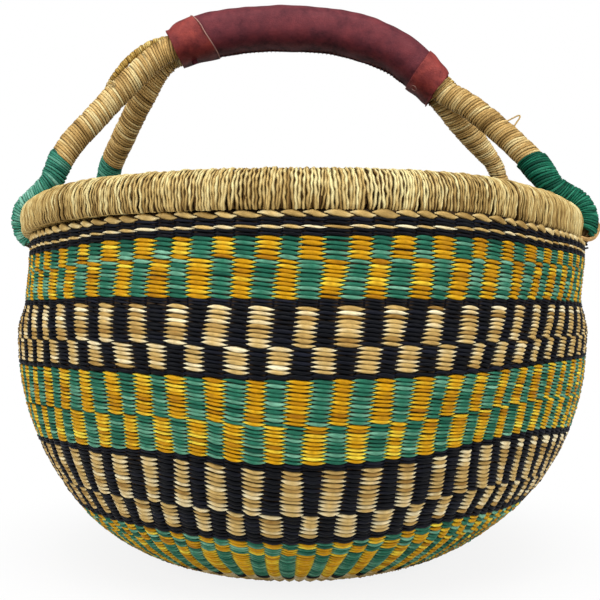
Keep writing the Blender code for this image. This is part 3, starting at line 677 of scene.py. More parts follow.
# How the tone of the binding changes: from bunch to bunch, from straw to straw, and along a straw, which is
# painted paler where it stands out and where it widens, as light, and darker where it dips in and narrows,
# as shade; it is painted paler at the top, as light, and darker below, as shade, from this many degrees
# down over this many more
BUNCH_TONE_VARIES = 0.10
BINDING_TONE_VARIES = 0.20
RIPPLE_PAINTED_LIGHT_AND_SHADE = 0.16
PINCH_PAINTED_LIGHT_AND_SHADE = 0.10
TOP_PAINTED_LIGHT_AND_SHADE = 0.08
UNDER_PAINTED_SHADE = -0.22
UNDER_SHADE_START = 105.0
UNDER_SHADE_RUN = 30.0
DYES["rim"] = ("#94753F", "#CDAE6C", "#F3E2A4")
# The lower layer of the binding is the same natural straw, painted darker as shade
DYES["rim_under_painted_shade"] = ("#3F2A0E", "#5C421C", "#7E6232")
# The rim's bundle is natural straw, painted dark as shade
DYES["bundle"] = ("#2E2110", "#3D2D17", "#513D20")


def rim_frame(azimuth, turn, reach):
    """Points round the rim's oval: degrees from the front, a turn from straight up outwards, and a
    reach past the oval; with the directions off the oval and along the rim."""
    side = np.radians(azimuth)
    radial = np.stack([np.sin(side), -np.cos(side), np.zeros_like(side)], axis=-1)
    upward = np.array([0.0, 0.0, 1.0])
    normal = np.stack([np.sin(turn) / RIM_HALF_WIDTH, np.cos(turn) / RIM_HALF_DEPTH])
    normal = normal / np.hypot(*normal)
    across = RIM_RADIUS + RIM_HALF_WIDTH * np.sin(turn) + normal[0] * reach
    height = RIM_HEIGHT + RIM_HALF_DEPTH * np.cos(turn) + normal[1] * reach
    around = from_front(azimuth)
    height = height - RIM_DROOP * np.interp(around, *np.array(RIM_DROOP_PLACES).T)
    height = height - np.interp(around, *np.array(RIM_SAG).T) * np.clip(-np.cos(turn), 0.0, 1.0)
    place = radial * across[..., None] + upward * height[..., None]
    out = radial * normal[0][..., None] + upward * normal[1][..., None]
    along = np.stack([np.cos(side), np.sin(side), np.zeros_like(side)], axis=-1)
    return place, out, along


def rim_layer(name, dye, depth, shift, gather_share, seed):
    """One layer of the straws that bind the rim, at a depth under its surface."""
    draw = np.random.default_rng(seed)
    bunch, straw = np.divmod(np.arange(BUNCHES * BUNCH_STRAWS), BUNCH_STRAWS)
    first = 2 * bunch + BUNCH_SHIFT

    def by_straw(spread):
        return draw.normal(0.0, spread, (straw.size, 1))

    def by_bunch(spread):
        return draw.normal(0.0, spread, BUNCHES)[bunch][:, None]

    def wave(low, high):
        waves = draw.integers(low, high, (straw.size, 1))
        return np.sin(turn * waves + draw.uniform(0.0, 6.28, (straw.size, 1)))

    jitter = draw.uniform(-TOP_VARIES, TOP_VARIES, straw.size)
    top_stake = (first + 2 * (straw + 0.5 + shift + jitter) / BUNCH_STRAWS)[:, None]
    hole_stake = (first + HOLE_SHIFT)[:, None] + by_bunch(HOLE_VARIES)
    even = 2 * np.pi * np.arange(RIM_STATIONS) / RIM_STATIONS
    turn = even - RIM_CLOSER * (np.sin(even - RIM_CLOSE_TURN) + math.sin(RIM_CLOSE_TURN))
    turn = turn * np.ones((straw.size, 1))
    level = np.degrees(np.minimum(turn, 2 * np.pi - turn))
    gather = eased(np.clip((level - GATHER_START) / GATHER_RUN, 0.0, 1.0))
    gather = gather * (gather_share + by_straw(GATHER_VARIES))
    stake_at = top_stake * (1.0 - gather) + hole_stake * gather
    stake_at = stake_at + (by_bunch(LEAN_VARIES) + by_straw(LEAN_VARIES)) * np.cos(turn)
    for low, high, amount in RIM_WAVES:
        stake_at = stake_at + wave(low, high) * amount
    ripple = wave(*RIPPLE_WAVES)
    reach = -RIM_STRAW_HALF_THICKNESS - depth + RIPPLE_DEPTH * ripple + by_straw(DEPTH_VARIES)
    azimuth = from_front(azimuth_of(stake_at, RUNS[-1]))
    skirt = np.interp(level, *np.array(RIM_SKIRT).T)
    reach = reach + skirt * np.interp(azimuth, RIM_SKIRT_FADE, RIM_SKIRT_SHARES)
    place, out, along = rim_frame(azimuth, turn, reach)
    # The tone is painted paler where the straw stands out, widens and faces up, and darker where it dips
    # in, narrows and faces down: painted light and shade
    tone = 0.5 + by_bunch(BUNCH_TONE_VARIES) + by_straw(BINDING_TONE_VARIES)
    tone = tone + RIPPLE_PAINTED_LIGHT_AND_SHADE * ripple + TOP_PAINTED_LIGHT_AND_SHADE * np.cos(turn)
    tone = tone + UNDER_PAINTED_SHADE * np.clip((level - UNDER_SHADE_START) / UNDER_SHADE_RUN, 0.0, 1.0)
    pinch = wave(*PINCH_WAVES)
    width = RIM_STRAW_HALF_WIDTH * (1.0 + by_straw(WIDTH_VARIES) + PINCH_SHARE * pinch)
    tint = tones(dye, np.clip(tone + PINCH_PAINTED_LIGHT_AND_SHADE * pinch, 0.0, 1.0))
    thick = np.full(width.shape, RIM_STRAW_HALF_THICKNESS)
    made = straw_mesh(name, place, out, along, thick, width, tint, 4, True, columns=12, edge=RIM_EDGE_PAINTED_SHADE)
    made.data.materials.append(GRASS_BINDING)
    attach(made, "root")
    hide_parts("rim_wrap")


GRASS_BINDING = grass_finish("natural grass binding", 0.44, 0.20)
rim_layer("rim_winding", "rim", 0.0, 0.0, GATHER_SHARE, 61)
# The layer below is painted in the darker dye, as shade
rim_layer("rim_winding_under", "rim_under_painted_shade", RIM_LAYER_DEPTH, 0.5, 0.0, 63)

# The bundle inside the rim is the stakes' own ends, twisted once round on their way. It is natural straw
# painted dark, as shade, where it shows between the straws that bind it.
BUNDLE_STRAWS = 16
BUNDLE_STATIONS = 200
BUNDLE_HALF_WIDTH = 0.0026
BUNDLE_THICKNESS_SHARE = 0.7
BUNDLE_DEPTH = 0.0038
draw = np.random.default_rng(62)
grid = np.ones((BUNDLE_STRAWS, BUNDLE_STATIONS))
around = np.linspace(0.0, 360.0, BUNDLE_STATIONS, endpoint=False) * grid
slot_turn = 2 * np.pi * (np.arange(BUNDLE_STRAWS)[:, None] / BUNDLE_STRAWS) + np.radians(around)
bundle_place, bundle_out, bundle_along = rim_frame(around, slot_turn, -BUNDLE_DEPTH * grid)
rim_bundle = straw_mesh(
    "rim_bundle",
    bundle_place,
    bundle_out,
    np.cross(bundle_out, bundle_along),
    BUNDLE_HALF_WIDTH * BUNDLE_THICKNESS_SHARE * grid,
    BUNDLE_HALF_WIDTH * grid,
    tones("bundle", draw.uniform(0.0, 1.0, (BUNDLE_STRAWS, 1)) * grid),
    6,
    closed=True,
)
rim_bundle.data.materials.append(GRASS_BINDING)
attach(rim_bundle, "root")
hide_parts("rim_core")

# Handle: two stiff bundles of grass, one behind the other, each bent into an arch whose feet hook
# over and round the rim. Natural straw is wound tightly round them, and green straw round the feet.
HANDLE_TOP = 0.386
HANDLE_SETBACK = 0.026
ARCH_RADIUS = 0.0095
CORE_RADIUS = 0.0070
TAIL_RADIUS = 0.0045
FOOT_RADIUS_LEFT = 0.0065
FOOT_RADIUS_RIGHT = 0.0078
FOOT_SLACK_RIGHT = 0.0012
FRONT_FOOT_ANGLE = -4.0
BACK_LEFT_FOOT_ANGLE = 25.0
BACK_RIGHT_FOOT_ANGLE = 22.0
# Places on the arch: across, as a share of the rim's radius, and up, as a share of the handle's
# rise. On the legs the third number says how far it has come from the grip's depth to the foot's
GRIP_SHARES = (
    (-0.528, 0.893), (-0.453, 0.932), (-0.296, 0.980), (-0.047, 1.000), (0.201, 0.963), (0.420, 0.838),
    (0.516, 0.726), (0.561, 0.672),
)
FRONT_LEFT_SHARES = (
    (-0.715, 0.664, 0.24), (-0.833, 0.463, 0.55), (-0.900, 0.344, 0.76), (-0.948, 0.231, 0.90),
)
BACK_LEFT_SHARES = ((-0.685, 0.628, 0.16), (-0.764, 0.455, 0.43), (-0.838, 0.292, 0.76))
FRONT_RIGHT_SHARES = ((0.679, 0.560, 0.20), (0.808, 0.395, 0.48), (0.904, 0.244, 0.79))
BACK_RIGHT_SHARES = ((0.702, 0.478, 0.33), (0.775, 0.391, 0.52), (0.861, 0.286, 0.72))
# Heights over the rim where green takes over, as shares of the handle's rise: left and right leg
FRONT_GREEN_SHARES = (0.235, 0.235)
BACK_GREEN_SHARES = (0.305, 0.120)
# The front right foot is bound thickest just below where its green starts
GREEN_SWELL = 0.0018
GREEN_SWELL_START = 0.006
GREEN_SWELL_RUN = 0.013
# All feet lie a little lower on the rim than the plain route has them, and the front right one
# hangs lowest where it crosses the rim
FOOT_DROP = 0.0012
FOOT_DROP_RUN = 0.030
RIGHT_FOOT_SAG = 0.0026
RIGHT_FOOT_SAG_START = 0.028
RIGHT_FOOT_SAG_RUN = 0.014
# The left feet are slimmer at their ends. They are bound further than the solid, and the front
# right one less far
LEFT_FOOT_SLIMMING = 0.0016
LEFT_FOOT_SLIM_RUN = 0.020
LEFT_FOOT_LONGER = 0.005
RIGHT_FOOT_SHORTER = 0.008
# The back leg on the right stands further in and is thinner just above the rim
BACK_RIGHT_SLIMMING = 0.0025
BACK_RIGHT_SLIM_START = 0.022
BACK_RIGHT_SLIM_RUN = 0.023
BACK_RIGHT_SHIFT = 0.0042
FOOT_TOP_TURN = -6.0
FOOT_TOP_REACH_SHARE = 2.18
FOOT_TOP_CORE_SHARE = 0.90
FOOT_TOP_WRAP_SHARE = 0.92
HOOK_TURNS = ((22.0, 0.75), (48.0, 1.0), (75.0, 1.0), (102.0, 1.0), (128.0, 1.0))
TAIL_TURNS = (152.0, 178.0, 206.0, 234.0, 262.0, 292.0)
ARCH_SPREAD = ARCH_RADIUS + SEAT_GAP / 2
HANDLE_RISE = HANDLE_TOP - RIM_TOP
ROUTE_STEP = 0.002


def foot_rows(side, angle, foot_radius, slack):
    """A foot from above the rim, over and round it, and up inside: place, core and winding radius."""
    turns = [(FOOT_TOP_TURN, RIM_HALF_WIDTH * FOOT_TOP_REACH_SHARE, 0.0)]
    turns += [(turn, None, share) for turn, share in HOOK_TURNS]
    turns += [(turn, RIM_HALF_WIDTH + SEAT_GAP * 2 + TAIL_RADIUS, 1.0) for turn in TAIL_TURNS]
    top_wrap = ARCH_RADIUS * FOOT_TOP_WRAP_SHARE
    rows = []
    for turn, reach, share in turns:
        wrap = top_wrap + (foot_radius - top_wrap) * share
        core = CORE_RADIUS * FOOT_TOP_CORE_SHARE if turn == FOOT_TOP_TURN else TAIL_RADIUS
        if reach is None:
            reach = RIM_HALF_WIDTH + SEAT_GAP + wrap + slack
        radius = RIM_RADIUS + reach * math.sin(math.radians(turn))
        height = RIM_HEIGHT + reach * math.cos(math.radians(turn))
        turned = math.radians(angle)
        rows.append((side * radius * math.cos(turned), radius * math.sin(turned), height, core, wrap))
    return rows


def arch_route(setback, left_shares, right_shares, left_angle, right_angle, green_shares):
    """One arch from tail to tail: places, core and winding radii every step, and marked lengths."""
    left_foot = foot_rows(-1.0, left_angle, FOOT_RADIUS_LEFT, 0.0)
    right_foot = foot_rows(1.0, right_angle, FOOT_RADIUS_RIGHT, FOOT_SLACK_RIGHT)

    def front_view(across, up, behind):
        return (across * RIM_RADIUS, behind, RIM_TOP + up * HANDLE_RISE, CORE_RADIUS, ARCH_RADIUS)

    def leg(shares, foot):
        return [front_view(x, z, setback + (foot[0][1] - setback) * share) for x, z, share in shares]

    grip = [front_view(x, z, setback) for x, z in GRIP_SHARES]
    left_leg, right_leg = leg(left_shares, left_foot), leg(right_shares, right_foot)
    rows = np.array(left_foot[::-1] + left_leg[::-1] + grip + right_leg + right_foot)
    first = len(left_foot) + len(left_leg)
    last = first + len(grip) - 1
    marked = {
        "left_end": len(TAIL_TURNS),
        "grip_start": first,
        "grip_end": last,
        "right_end": len(rows) - 1 - len(TAIL_TURNS),
    }
    places = rows[:, :3]
    spans = np.linalg.norm(np.diff(places, axis=0), axis=1)
    steps = np.diff(places, axis=0) / spans[:, None]
    before, after = spans[:-1, None], spans[1:, None]
    slopes = np.zeros_like(places)
    slopes[1:-1] = (steps[:-1] * after + steps[1:] * before) / (after + before)
    slopes[0], slopes[-1] = steps[0], steps[-1]
    slopes[first], slopes[last] = steps[first], steps[last - 1]
    route = []
    marks = {}
    for i, span in enumerate(spans):
        marks.update({key: len(route) for key, index in marked.items() if index == i})
        pieces = max(1, round(span / ROUTE_STEP))
        share = (np.arange(pieces) / pieces)[:, None]
        square, cube = share ** 2, share ** 3
        place = (
            places[i] * (2 * cube - 3 * square + 1)
            + slopes[i] * span * (cube - 2 * square + share)
            + places[i + 1] * (3 * square - 2 * cube)
            + slopes[i + 1] * span * (cube - square)
        )
        radii = rows[i, 3:] + (rows[i + 1, 3:] - rows[i, 3:]) * share
        route.extend(np.hstack([place, radii]))
    route = np.array(route + [rows[-1]])
    left_level, right_level = (RIM_TOP + share * HANDLE_RISE for share in green_shares)
    marks["left_green"] = np.flatnonzero(route[:, 2] > left_level)[0]
    marks["right_green"] = np.flatnonzero(route[:, 2] > right_level)[-1]
    lengths = np.concatenate([[0.0], np.cumsum(np.linalg.norm(np.diff(route[:, :3], axis=0), axis=1))])
    return {"rows": route, "lengths": lengths, **{key: lengths[index] for key, index in marks.items()}}


def unit(vectors):
    """The directions of vectors."""
    return vectors / np.linalg.norm(vectors, axis=-1)[..., None]


def carried_frame(places):
    """Directions along a route, and two square to it that turn no more than they must."""
    along = unit(np.gradient(places, axis=0))
    side = np.cross(along[0], (0.3, 1.0, 0.1))
    sides = []
    for direction in along:
        side = unit(side - direction * np.dot(side, direction))
        sides.append(side)
    sides = np.array(sides)
    return along, sides, np.cross(along, sides)


def read_route(table, lengths, at):
    """Rows of a table read at lengths along it."""
    return np.stack([np.interp(at, lengths, table[:, i]) for i in range(table.shape[1])], axis=-1)


WINDING_PITCH = 0.0021
FOOT_PITCH = 0.0019
WINDING_HALF_THICKNESS = 0.00095
WINDING_THICKNESS_SHARE = 0.2
WINDING_FILL_SHARE = 1.10
# Each turn lies at a slant, further on at the outside of the arch by this share of the radius
WINDING_TILT_SHARE = 0.28
# The wound straws are painted darker at their sides by this share, as shade between the turns
WINDING_EDGE_PAINTED_SHADE = 0.55
# Under the straws that show lies a second layer, half a turn further on, painted darker as shade: depth,
# painted shade share and turns
WINDING_LAYERS = ((0.0, 1.0, 0.0), (0.0009, 0.45, 0.5))
TURN_STATIONS = 14
TURNS_IN_STRAW = 8
# A straw's ends are tucked in under the next turns, over this many stations and thicknesses
TUCK_STATIONS = 3.0
TUCK_DEPTH_SHARE = 1.6
# How unevenly it is wound: along, in pitches; off the core, in metres; in width; and in tone along
# a straw and from straw to straw. Each changes this many times in a turn
WINDING_PLACE_VARIES = (0.14, 2)
WINDING_LIFT_VARIES = (0.00015, 3)
WINDING_WIDTH_VARIES = (0.13, 2)
WINDING_TONE_VARIES = (0.26, 4)
WOUND_STRAW_TONE_VARIES = 0.10
# Where the turns fan out or crowd, a straw is at most and at least this much of the pitch wide
WINDING_SPACINGS = (0.5, 2.2)
DYES["handle"] = ("#8E6E3C", "#D0AA68", "#F6E2A6")
# The stiff bundles inside the windings are natural straw, painted dark as shade where they show between the
# turns
DYES["core"] = ("#3A2A14", "#4C381C", "#5E4726")
DYES["foot_left"] = ("#175546", "#3F8A72", "#86BFA8")
DYES["foot_right"] = ("#0A4232", "#176A50", "#44A07F")


def wind(name, node, route, start, end, dye, seed, finish, pitch=WINDING_PITCH):
    """Straws wound side by side round a route, between two lengths along it, over a first layer painted
    darker as shade.

    The route is its places, radii and lengths.
    """
    draw = np.random.default_rng(seed)
    places, radii, lengths = route
    straws = max(1, round((end - start) / pitch / TURNS_IN_STRAW))
    pitch = (end - start) / (straws * TURNS_IN_STRAW)
    stations = TURNS_IN_STRAW * TURN_STATIONS + 3
    turns = np.arange(straws)[:, None] * TURNS_IN_STRAW + np.arange(stations) / TURN_STATIONS
    cosine, sine = np.cos(2 * np.pi * turns)[..., None], np.sin(2 * np.pi * turns)[..., None]
    whole = straws * TURNS_IN_STRAW + 2
    along, side, over = carried_frame(places)
    edge = np.minimum(np.arange(stations), np.arange(stations)[::-1])
    outward = np.cross(along, (0.0, 1.0, 0.0))

    def varied(spread, changes):
        knots = np.arange(whole * changes) / changes
        return np.interp(turns, knots, draw.normal(0.0, spread, whole * changes))

    def spoke(at):
        return cosine * read_route(side, lengths, at) + sine * read_route(over, lengths, at)

    layers = []
    # Each layer's colour is scaled by its share, which paints the lower layer darker, as shade
    for depth, shade, shift in WINDING_LAYERS:
        at = start + pitch * (turns + varied(*WINDING_PLACE_VARIES) + shift)
        tilt = np.sum(spoke(at) * read_route(outward, lengths, at), axis=-1)
        at = at + WINDING_TILT_SHARE * np.interp(at, lengths, radii) * tilt
        at = np.clip(at, lengths[0], lengths[-1])
        place = read_route(places, lengths, at)
        radius = np.interp(at, lengths, radii)
        body = np.minimum(WINDING_HALF_THICKNESS, WINDING_THICKNESS_SHARE * radius)
        tuck = np.clip(1.0 - edge / TUCK_STATIONS, 0.0, 1.0) * body * TUCK_DEPTH_SHARE
        out = unit(spoke(at))
        swell = varied(*WINDING_LIFT_VARIES) * body / WINDING_HALF_THICKNESS
        middle = place + out * (radius - body + swell - tuck - depth)[..., None]
        ahead = np.minimum(at + pitch, lengths[-1])
        step = read_route(places, lengths, ahead) - place + (spoke(ahead) - spoke(at)) * radius[..., None]
        spacing = np.where(at + pitch <= lengths[-1], np.linalg.norm(step, axis=-1), pitch)
        size = 1.0 + varied(*WINDING_WIDTH_VARIES)
        narrowest, widest = (share * pitch for share in WINDING_SPACINGS)
        wide = np.clip(spacing, narrowest, widest) / 2 * WINDING_FILL_SHARE * size
        tone = 0.5 + varied(*WINDING_TONE_VARIES)
        tone = np.clip(tone + draw.normal(0.0, WOUND_STRAW_TONE_VARIES, (straws, 1)), 0.0, 1.0)
        forward = read_route(along, lengths, at)
        layers.append((middle, out, forward, body * size, wide, tones(dye, tone) * shade))
    arrays = [np.concatenate(column) for column in zip(*layers)]
    made = straw_mesh(name, *arrays, 6, closed=False, columns=2, edge=WINDING_EDGE_PAINTED_SHADE)
    made.data.materials.append(finish)
    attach(made, "root")
    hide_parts(node)


# A stiff bundle is six straws twisted round a seventh: metres between stations, radians of twist in
# a metre, where the six stand and how thick each is, as shares of the bundle's radius, and the tips
CORE_STRAWS = 7
CORE_STEP = 0.005
CORE_TWIST = 18.0
CORE_RING_SHARE = 0.62
CORE_STRAW_SHARE = 0.38
CORE_TIP_SHARE = 0.35
CORE_TIP_STATIONS = 4.0
CORE_TONE_VARIES = 0.2


def bundle(name, node, route, seed):
    """Seven stiff straws twisted together along all of a route, with ends that thin out."""
    draw = np.random.default_rng(seed)
    places, radii, lengths = route
    stations = max(8, round(lengths[-1] / CORE_STEP))
    straw = np.arange(CORE_STRAWS)[:, None]
    at = np.linspace(0.0, lengths[-1], stations) * np.ones((CORE_STRAWS, 1))
    along, side, over = carried_frame(places)
    radius = np.interp(at, lengths, radii)
    swing = (straw * np.pi / 3 + at * CORE_TWIST)[..., None]
    out = np.cos(swing) * read_route(side, lengths, at) + np.sin(swing) * read_route(over, lengths, at)
    off = np.where(straw < CORE_STRAWS - 1, CORE_RING_SHARE, 0.0) * radius
    middle = read_route(places, lengths, at) + out * off[..., None]
    edge = np.minimum(np.arange(stations), np.arange(stations)[::-1])
    half = radius * CORE_STRAW_SHARE * np.clip(CORE_TIP_SHARE + edge / CORE_TIP_STATIONS, 0.0, 1.0)
    tone = np.clip(draw.normal(0.5, CORE_TONE_VARIES, (CORE_STRAWS, 1)) * np.ones(at.shape), 0.0, 1.0)
    across = np.cross(read_route(along, lengths, at), out)
    made = straw_mesh(name, middle, out, across, half, half, tones("core", tone), 6, closed=False)
    made.data.materials.append(HANDLED_GRASS)
    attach(made, "root")
    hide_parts(node)


def near(lengths, middle, run):
    """1 at a length along a route, fading to nothing on both sides."""
    return np.exp(-(((lengths - middle) / run) ** 2))


HANDLED_GRASS = grass_finish("grass winding darkened by hands", 0.42, 0.20)
GREEN_GRASS = grass_finish("green dyed grass binding", 0.44, 0.22)
# The winding of each leg runs this far in under the leather
GRIP_OVERLAP = 0.010
ARCHES = {
    "front": arch_route(
        HANDLE_SETBACK - ARCH_SPREAD,
        FRONT_LEFT_SHARES,
        FRONT_RIGHT_SHARES,
        FRONT_FOOT_ANGLE,
        FRONT_FOOT_ANGLE,
        FRONT_GREEN_SHARES,
    ),
    "back": arch_route(
        HANDLE_SETBACK + ARCH_SPREAD,
        BACK_LEFT_SHARES,
        BACK_RIGHT_SHARES,
        BACK_LEFT_FOOT_ANGLE,
        BACK_RIGHT_FOOT_ANGLE,
        BACK_GREEN_SHARES,
    ),
}
for number, (which, arch) in enumerate(ARCHES.items()):
    seed = 70 + 10 * number
    lengths, left_green, right_green = arch["lengths"], arch["left_green"], arch["right_green"]
    places, cores, wraps = arch["rows"][:, :3], arch["rows"][:, 3], arch["rows"][:, 4]
    low = np.clip((RIM_TOP + FOOT_DROP_RUN - places[:, 2:]) / FOOT_DROP_RUN, 0.0, 1.0)
    places = places - FOOT_DROP * low * np.array([0.0, 0.0, 1.0])
    wraps = wraps - LEFT_FOOT_SLIMMING * near(lengths, arch["left_end"], LEFT_FOOT_SLIM_RUN)
    if which == "front":
        hang = near(lengths, right_green + RIGHT_FOOT_SAG_START, RIGHT_FOOT_SAG_RUN)
        places = places - RIGHT_FOOT_SAG * hang[:, None] * np.array([0.0, 0.0, 1.0])
        swell = GREEN_SWELL * near(lengths, right_green + GREEN_SWELL_START, GREEN_SWELL_RUN)
        right_end = arch["right_end"] - RIGHT_FOOT_SHORTER
    else:
        narrow = near(lengths, right_green - BACK_RIGHT_SLIM_START, BACK_RIGHT_SLIM_RUN)
        places = places - BACK_RIGHT_SHIFT * narrow[:, None] * np.array([1.0, 0.0, 0.0])
        wraps = wraps - BACK_RIGHT_SLIMMING * narrow
        swell = 0.0
        right_end = arch["right_end"]
    bundle(f"handle_bundle_{which}", f"handle_core_{which}", (places, cores, lengths), seed)
    wrapped = (places, wraps, lengths)
    wind(
        f"leg_winding_{which}_left", f"handle_wrap_{which}", wrapped,
        left_green, arch["grip_start"] + GRIP_OVERLAP, "handle", seed + 1, HANDLED_GRASS,
    )
    wind(
        f"leg_winding_{which}_right", f"handle_wrap_{which}", wrapped,
        arch["grip_end"] - GRIP_OVERLAP, right_green, "handle", seed + 2, HANDLED_GRASS,
    )
    wind(
        f"foot_binding_{which}_left", f"foot_wrap_{which}_left", wrapped,
        arch["left_end"] - LEFT_FOOT_LONGER, left_green, "foot_left", seed + 3, GREEN_GRASS, FOOT_PITCH,
    )
    wind(
        f"foot_binding_{which}_right", f"foot_wrap_{which}_right",
        (places, wraps + swell, lengths), right_green, right_end, "foot_right", seed + 4, GREEN_GRASS,
        FOOT_PITCH,
    )

# Filler: a thin wound bundle that lies in the valley between the two arches, under the leather.
# It comes out further on the left, where it stands off the front leg before it ends.
FILLER_RADIUS = 0.0050
FILLER_OVERHANG_LEFT = 0.065
FILLER_OVERHANG_RIGHT = 0.047
# Its radius at lengths from the grip's left end; towards the right it thins out to a tip
FILLER_RADII = ((-0.065, 0.0018), (-0.055, 0.0027), (-0.020, 0.0031), (0.004, 0.0031), (0.030, 0.0050))
FILLER_TAPER = 0.062
FILLER_TIP_SHARE = 0.375
FILLER_TOP_SHARE = 0.78
FILLER_CORE_SHARE = 0.8
FILLER_SPREAD_SHARE = 0.76
FILLER_BOW = 0.0027
FILLER_FORWARD_SHARE = 0.36
FILLER_PITCH = 0.0016
DYES["filler"] = ("#80622A", "#BE9A4E", "#E2C97E")
front, back = ARCHES["front"], ARCHES["back"]
filler_start = front["grip_start"] - FILLER_OVERHANG_LEFT
at = np.arange(filler_start, front["grip_end"] + FILLER_OVERHANG_RIGHT, ROUTE_STEP)
front_place = read_route(front["rows"][:, :3], front["lengths"], at)
back_at = at - front["grip_start"] + back["grip_start"]
back_place = read_route(back["rows"][:, :3], back["lengths"], back_at)
upward = np.cross(unit(np.gradient(front_place, axis=0)), (0.0, 1.0, 0.0))
leg_gap = (back_place[:, 1] - front_place[:, 1]) / 2
spread = np.minimum(FILLER_SPREAD_SHARE, leg_gap / (ARCH_RADIUS + FILLER_RADIUS + SEAT_GAP))
filler_radius = np.minimum(
    np.interp(at - front["grip_start"], *np.array(FILLER_RADII).T),
    FILLER_RADIUS * np.minimum(FILLER_TOP_SHARE, FILLER_TIP_SHARE + (at[-1] - at) / FILLER_TAPER),
)
bulge = np.sin(np.pi * np.clip((front["grip_start"] - at) / FILLER_OVERHANG_LEFT, 0.0, 1.0))
spread = spread - FILLER_FORWARD_SHARE * bulge
reach = ARCH_RADIUS + filler_radius + SEAT_GAP
filler_place = (
    front_place
    + (spread * reach)[:, None] * np.array([0.0, 1.0, 0.0])
    + (np.sqrt(1.0 - spread ** 2) * reach + FILLER_BOW * bulge)[:, None] * upward
)
filler_steps = np.linalg.norm(np.diff(filler_place, axis=0), axis=1)
filler_length = np.concatenate([[0.0], np.cumsum(filler_steps)])
wind(
    "filler_winding", "handle_filler", (filler_place, filler_radius, filler_length),
    0.0, filler_length[-1], "filler", 90, HANDLED_GRASS, FILLER_PITCH,
)
filler_core = (filler_place, filler_radius * FILLER_CORE_SHARE, filler_length)
bundle("filler_bundle", "handle_filler", filler_core, 91)

# Loose ends: bits of straw that stand off the winding, and the lashing under the front right foot.
# Each goes through its points, whose corners are cut off until it is smooth.
CORNER_ROUNDS = 3
CORNER_CUT = 0.25
LOOSE_TONE = 0.6
DYES["tail"] = ("#9A6C34", "#D9A868", "#F2CF98")
LOOSE_STRAWS = (
    ("loose_curl_left", "natural", 0.0005, (
        (-0.1380, 0.0000, 0.3385), (-0.1392, -0.0026, 0.3418), (-0.1422, -0.0030, 0.3420),
        (-0.1432, -0.0028, 0.3394), (-0.1410, -0.0026, 0.3378), (-0.1395, -0.0006, 0.3396),
    )),
    ("loose_wisp_right", "handle", 0.0006, (
        (0.1500, 0.0020, 0.3120), (0.1560, 0.0010, 0.3150), (0.1612, -0.0006, 0.3176),
        (0.1618, -0.0010, 0.3156), (0.1585, 0.0000, 0.3110), (0.1560, 0.0020, 0.3060),
    )),
    ("loose_tail_right", "tail", 0.0017, (
        (0.1990, -0.0165, 0.2262), (0.2033, -0.0175, 0.2246), (0.2075, -0.0180, 0.2238),
        (0.2115, -0.0175, 0.2262), (0.2140, -0.0168, 0.2312), (0.2146, -0.0155, 0.2352),
        (0.2120, -0.0110, 0.2390),
    )),
    ("foot_lashing_right_1", "black", 0.0009, (
        (0.1970, -0.0165, 0.2244), (0.2010, -0.0172, 0.2234), (0.2044, -0.0172, 0.2218),
        (0.2060, -0.0165, 0.2200),
    )),
    ("foot_lashing_right_2", "black", 0.0007, (
        (0.1970, -0.0150, 0.2196), (0.2012, -0.0158, 0.2186), (0.2048, -0.0158, 0.2176),
        (0.2072, -0.0150, 0.2182),
    )),
)
for name, dye, half, points in LOOSE_STRAWS:
    places = np.array(points)
    for _ in range(CORNER_ROUNDS):
        near_start = places[:-1] * (1.0 - CORNER_CUT) + places[1:] * CORNER_CUT
        near_end = places[:-1] * CORNER_CUT + places[1:] * (1.0 - CORNER_CUT)
        cut = np.stack([near_start, near_end], axis=1).reshape(-1, 3)
        places = np.concatenate([places[:1], cut, places[-1:]])
    along, side, over = carried_frame(places)
    halves = np.full((1, len(places)), half)
    tint = tones(dye, np.full((1, len(places)), LOOSE_TONE))
    straw = straw_mesh(name, places[None], side[None], over[None], halves, halves, tint, 6, closed=False)
    straw.data.materials.append(HANDLED_GRASS)
    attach(straw, "root")

# Grip: a piece of goat leather, dyed maroon, wrapped round both arches and the filler and sewn
# underneath. A cuff of redder leather is folded over each end.
LEATHER_THICKNESS = 0.0016
GRIP_EASE = 0.0009
# The leather is pulled in tight in the middle, and tapers towards its ends, most at the top of its
# right end: metres, and the lengths over which they act. Underneath only a share of that shows
MIDDLE_PULL = 0.0004
LEFT_TAPER = 0.0026
LEFT_TAPER_RUN = 0.032
RIGHT_TAPER = 0.0046
RIGHT_TAPER_RUN = 0.070
TAPER_POWER = 1.5
END_PINCH = 0.0034
END_PINCH_RUN = 0.009
END_PINCH_POWER = 2
UNDER_TAPER_SHARE = 0.25
GRIP_START = 0.0030
# How far the cuffs reach along the grip, and how much further their two ends do so at the top
CUFF_START_LEFT = 0.0010
CUFF_LENGTH_LEFT = 0.0272
CUFF_SLANT_LEFT = 0.0072
CUFF_SLANTS_LEFT = (-0.0012, -CUFF_SLANT_LEFT)
CUFF_LENGTH_RIGHT = 0.0215
CUFF_SLANTS_RIGHT = (-0.0020, -0.0012)
SECTION_POWER = 2.5
SECTION_FACETS = 20
GRIP_STATIONS = 200
GRIP_AROUND = 96
SLEEVE_ROWS = 170
# Shallow creases run round the leather at all slants: depth, how much they slant and how many stand
# in a length, and waves in a metre along the grip and in a turn round it
CREASE_DEPTH = 0.0013
CREASE_TURN = 0.5
CREASE_SCALES = (0.6, 3.4)
CREASE_WAVES_ALONG = 160.0
CREASE_WAVES_ROUND = 3

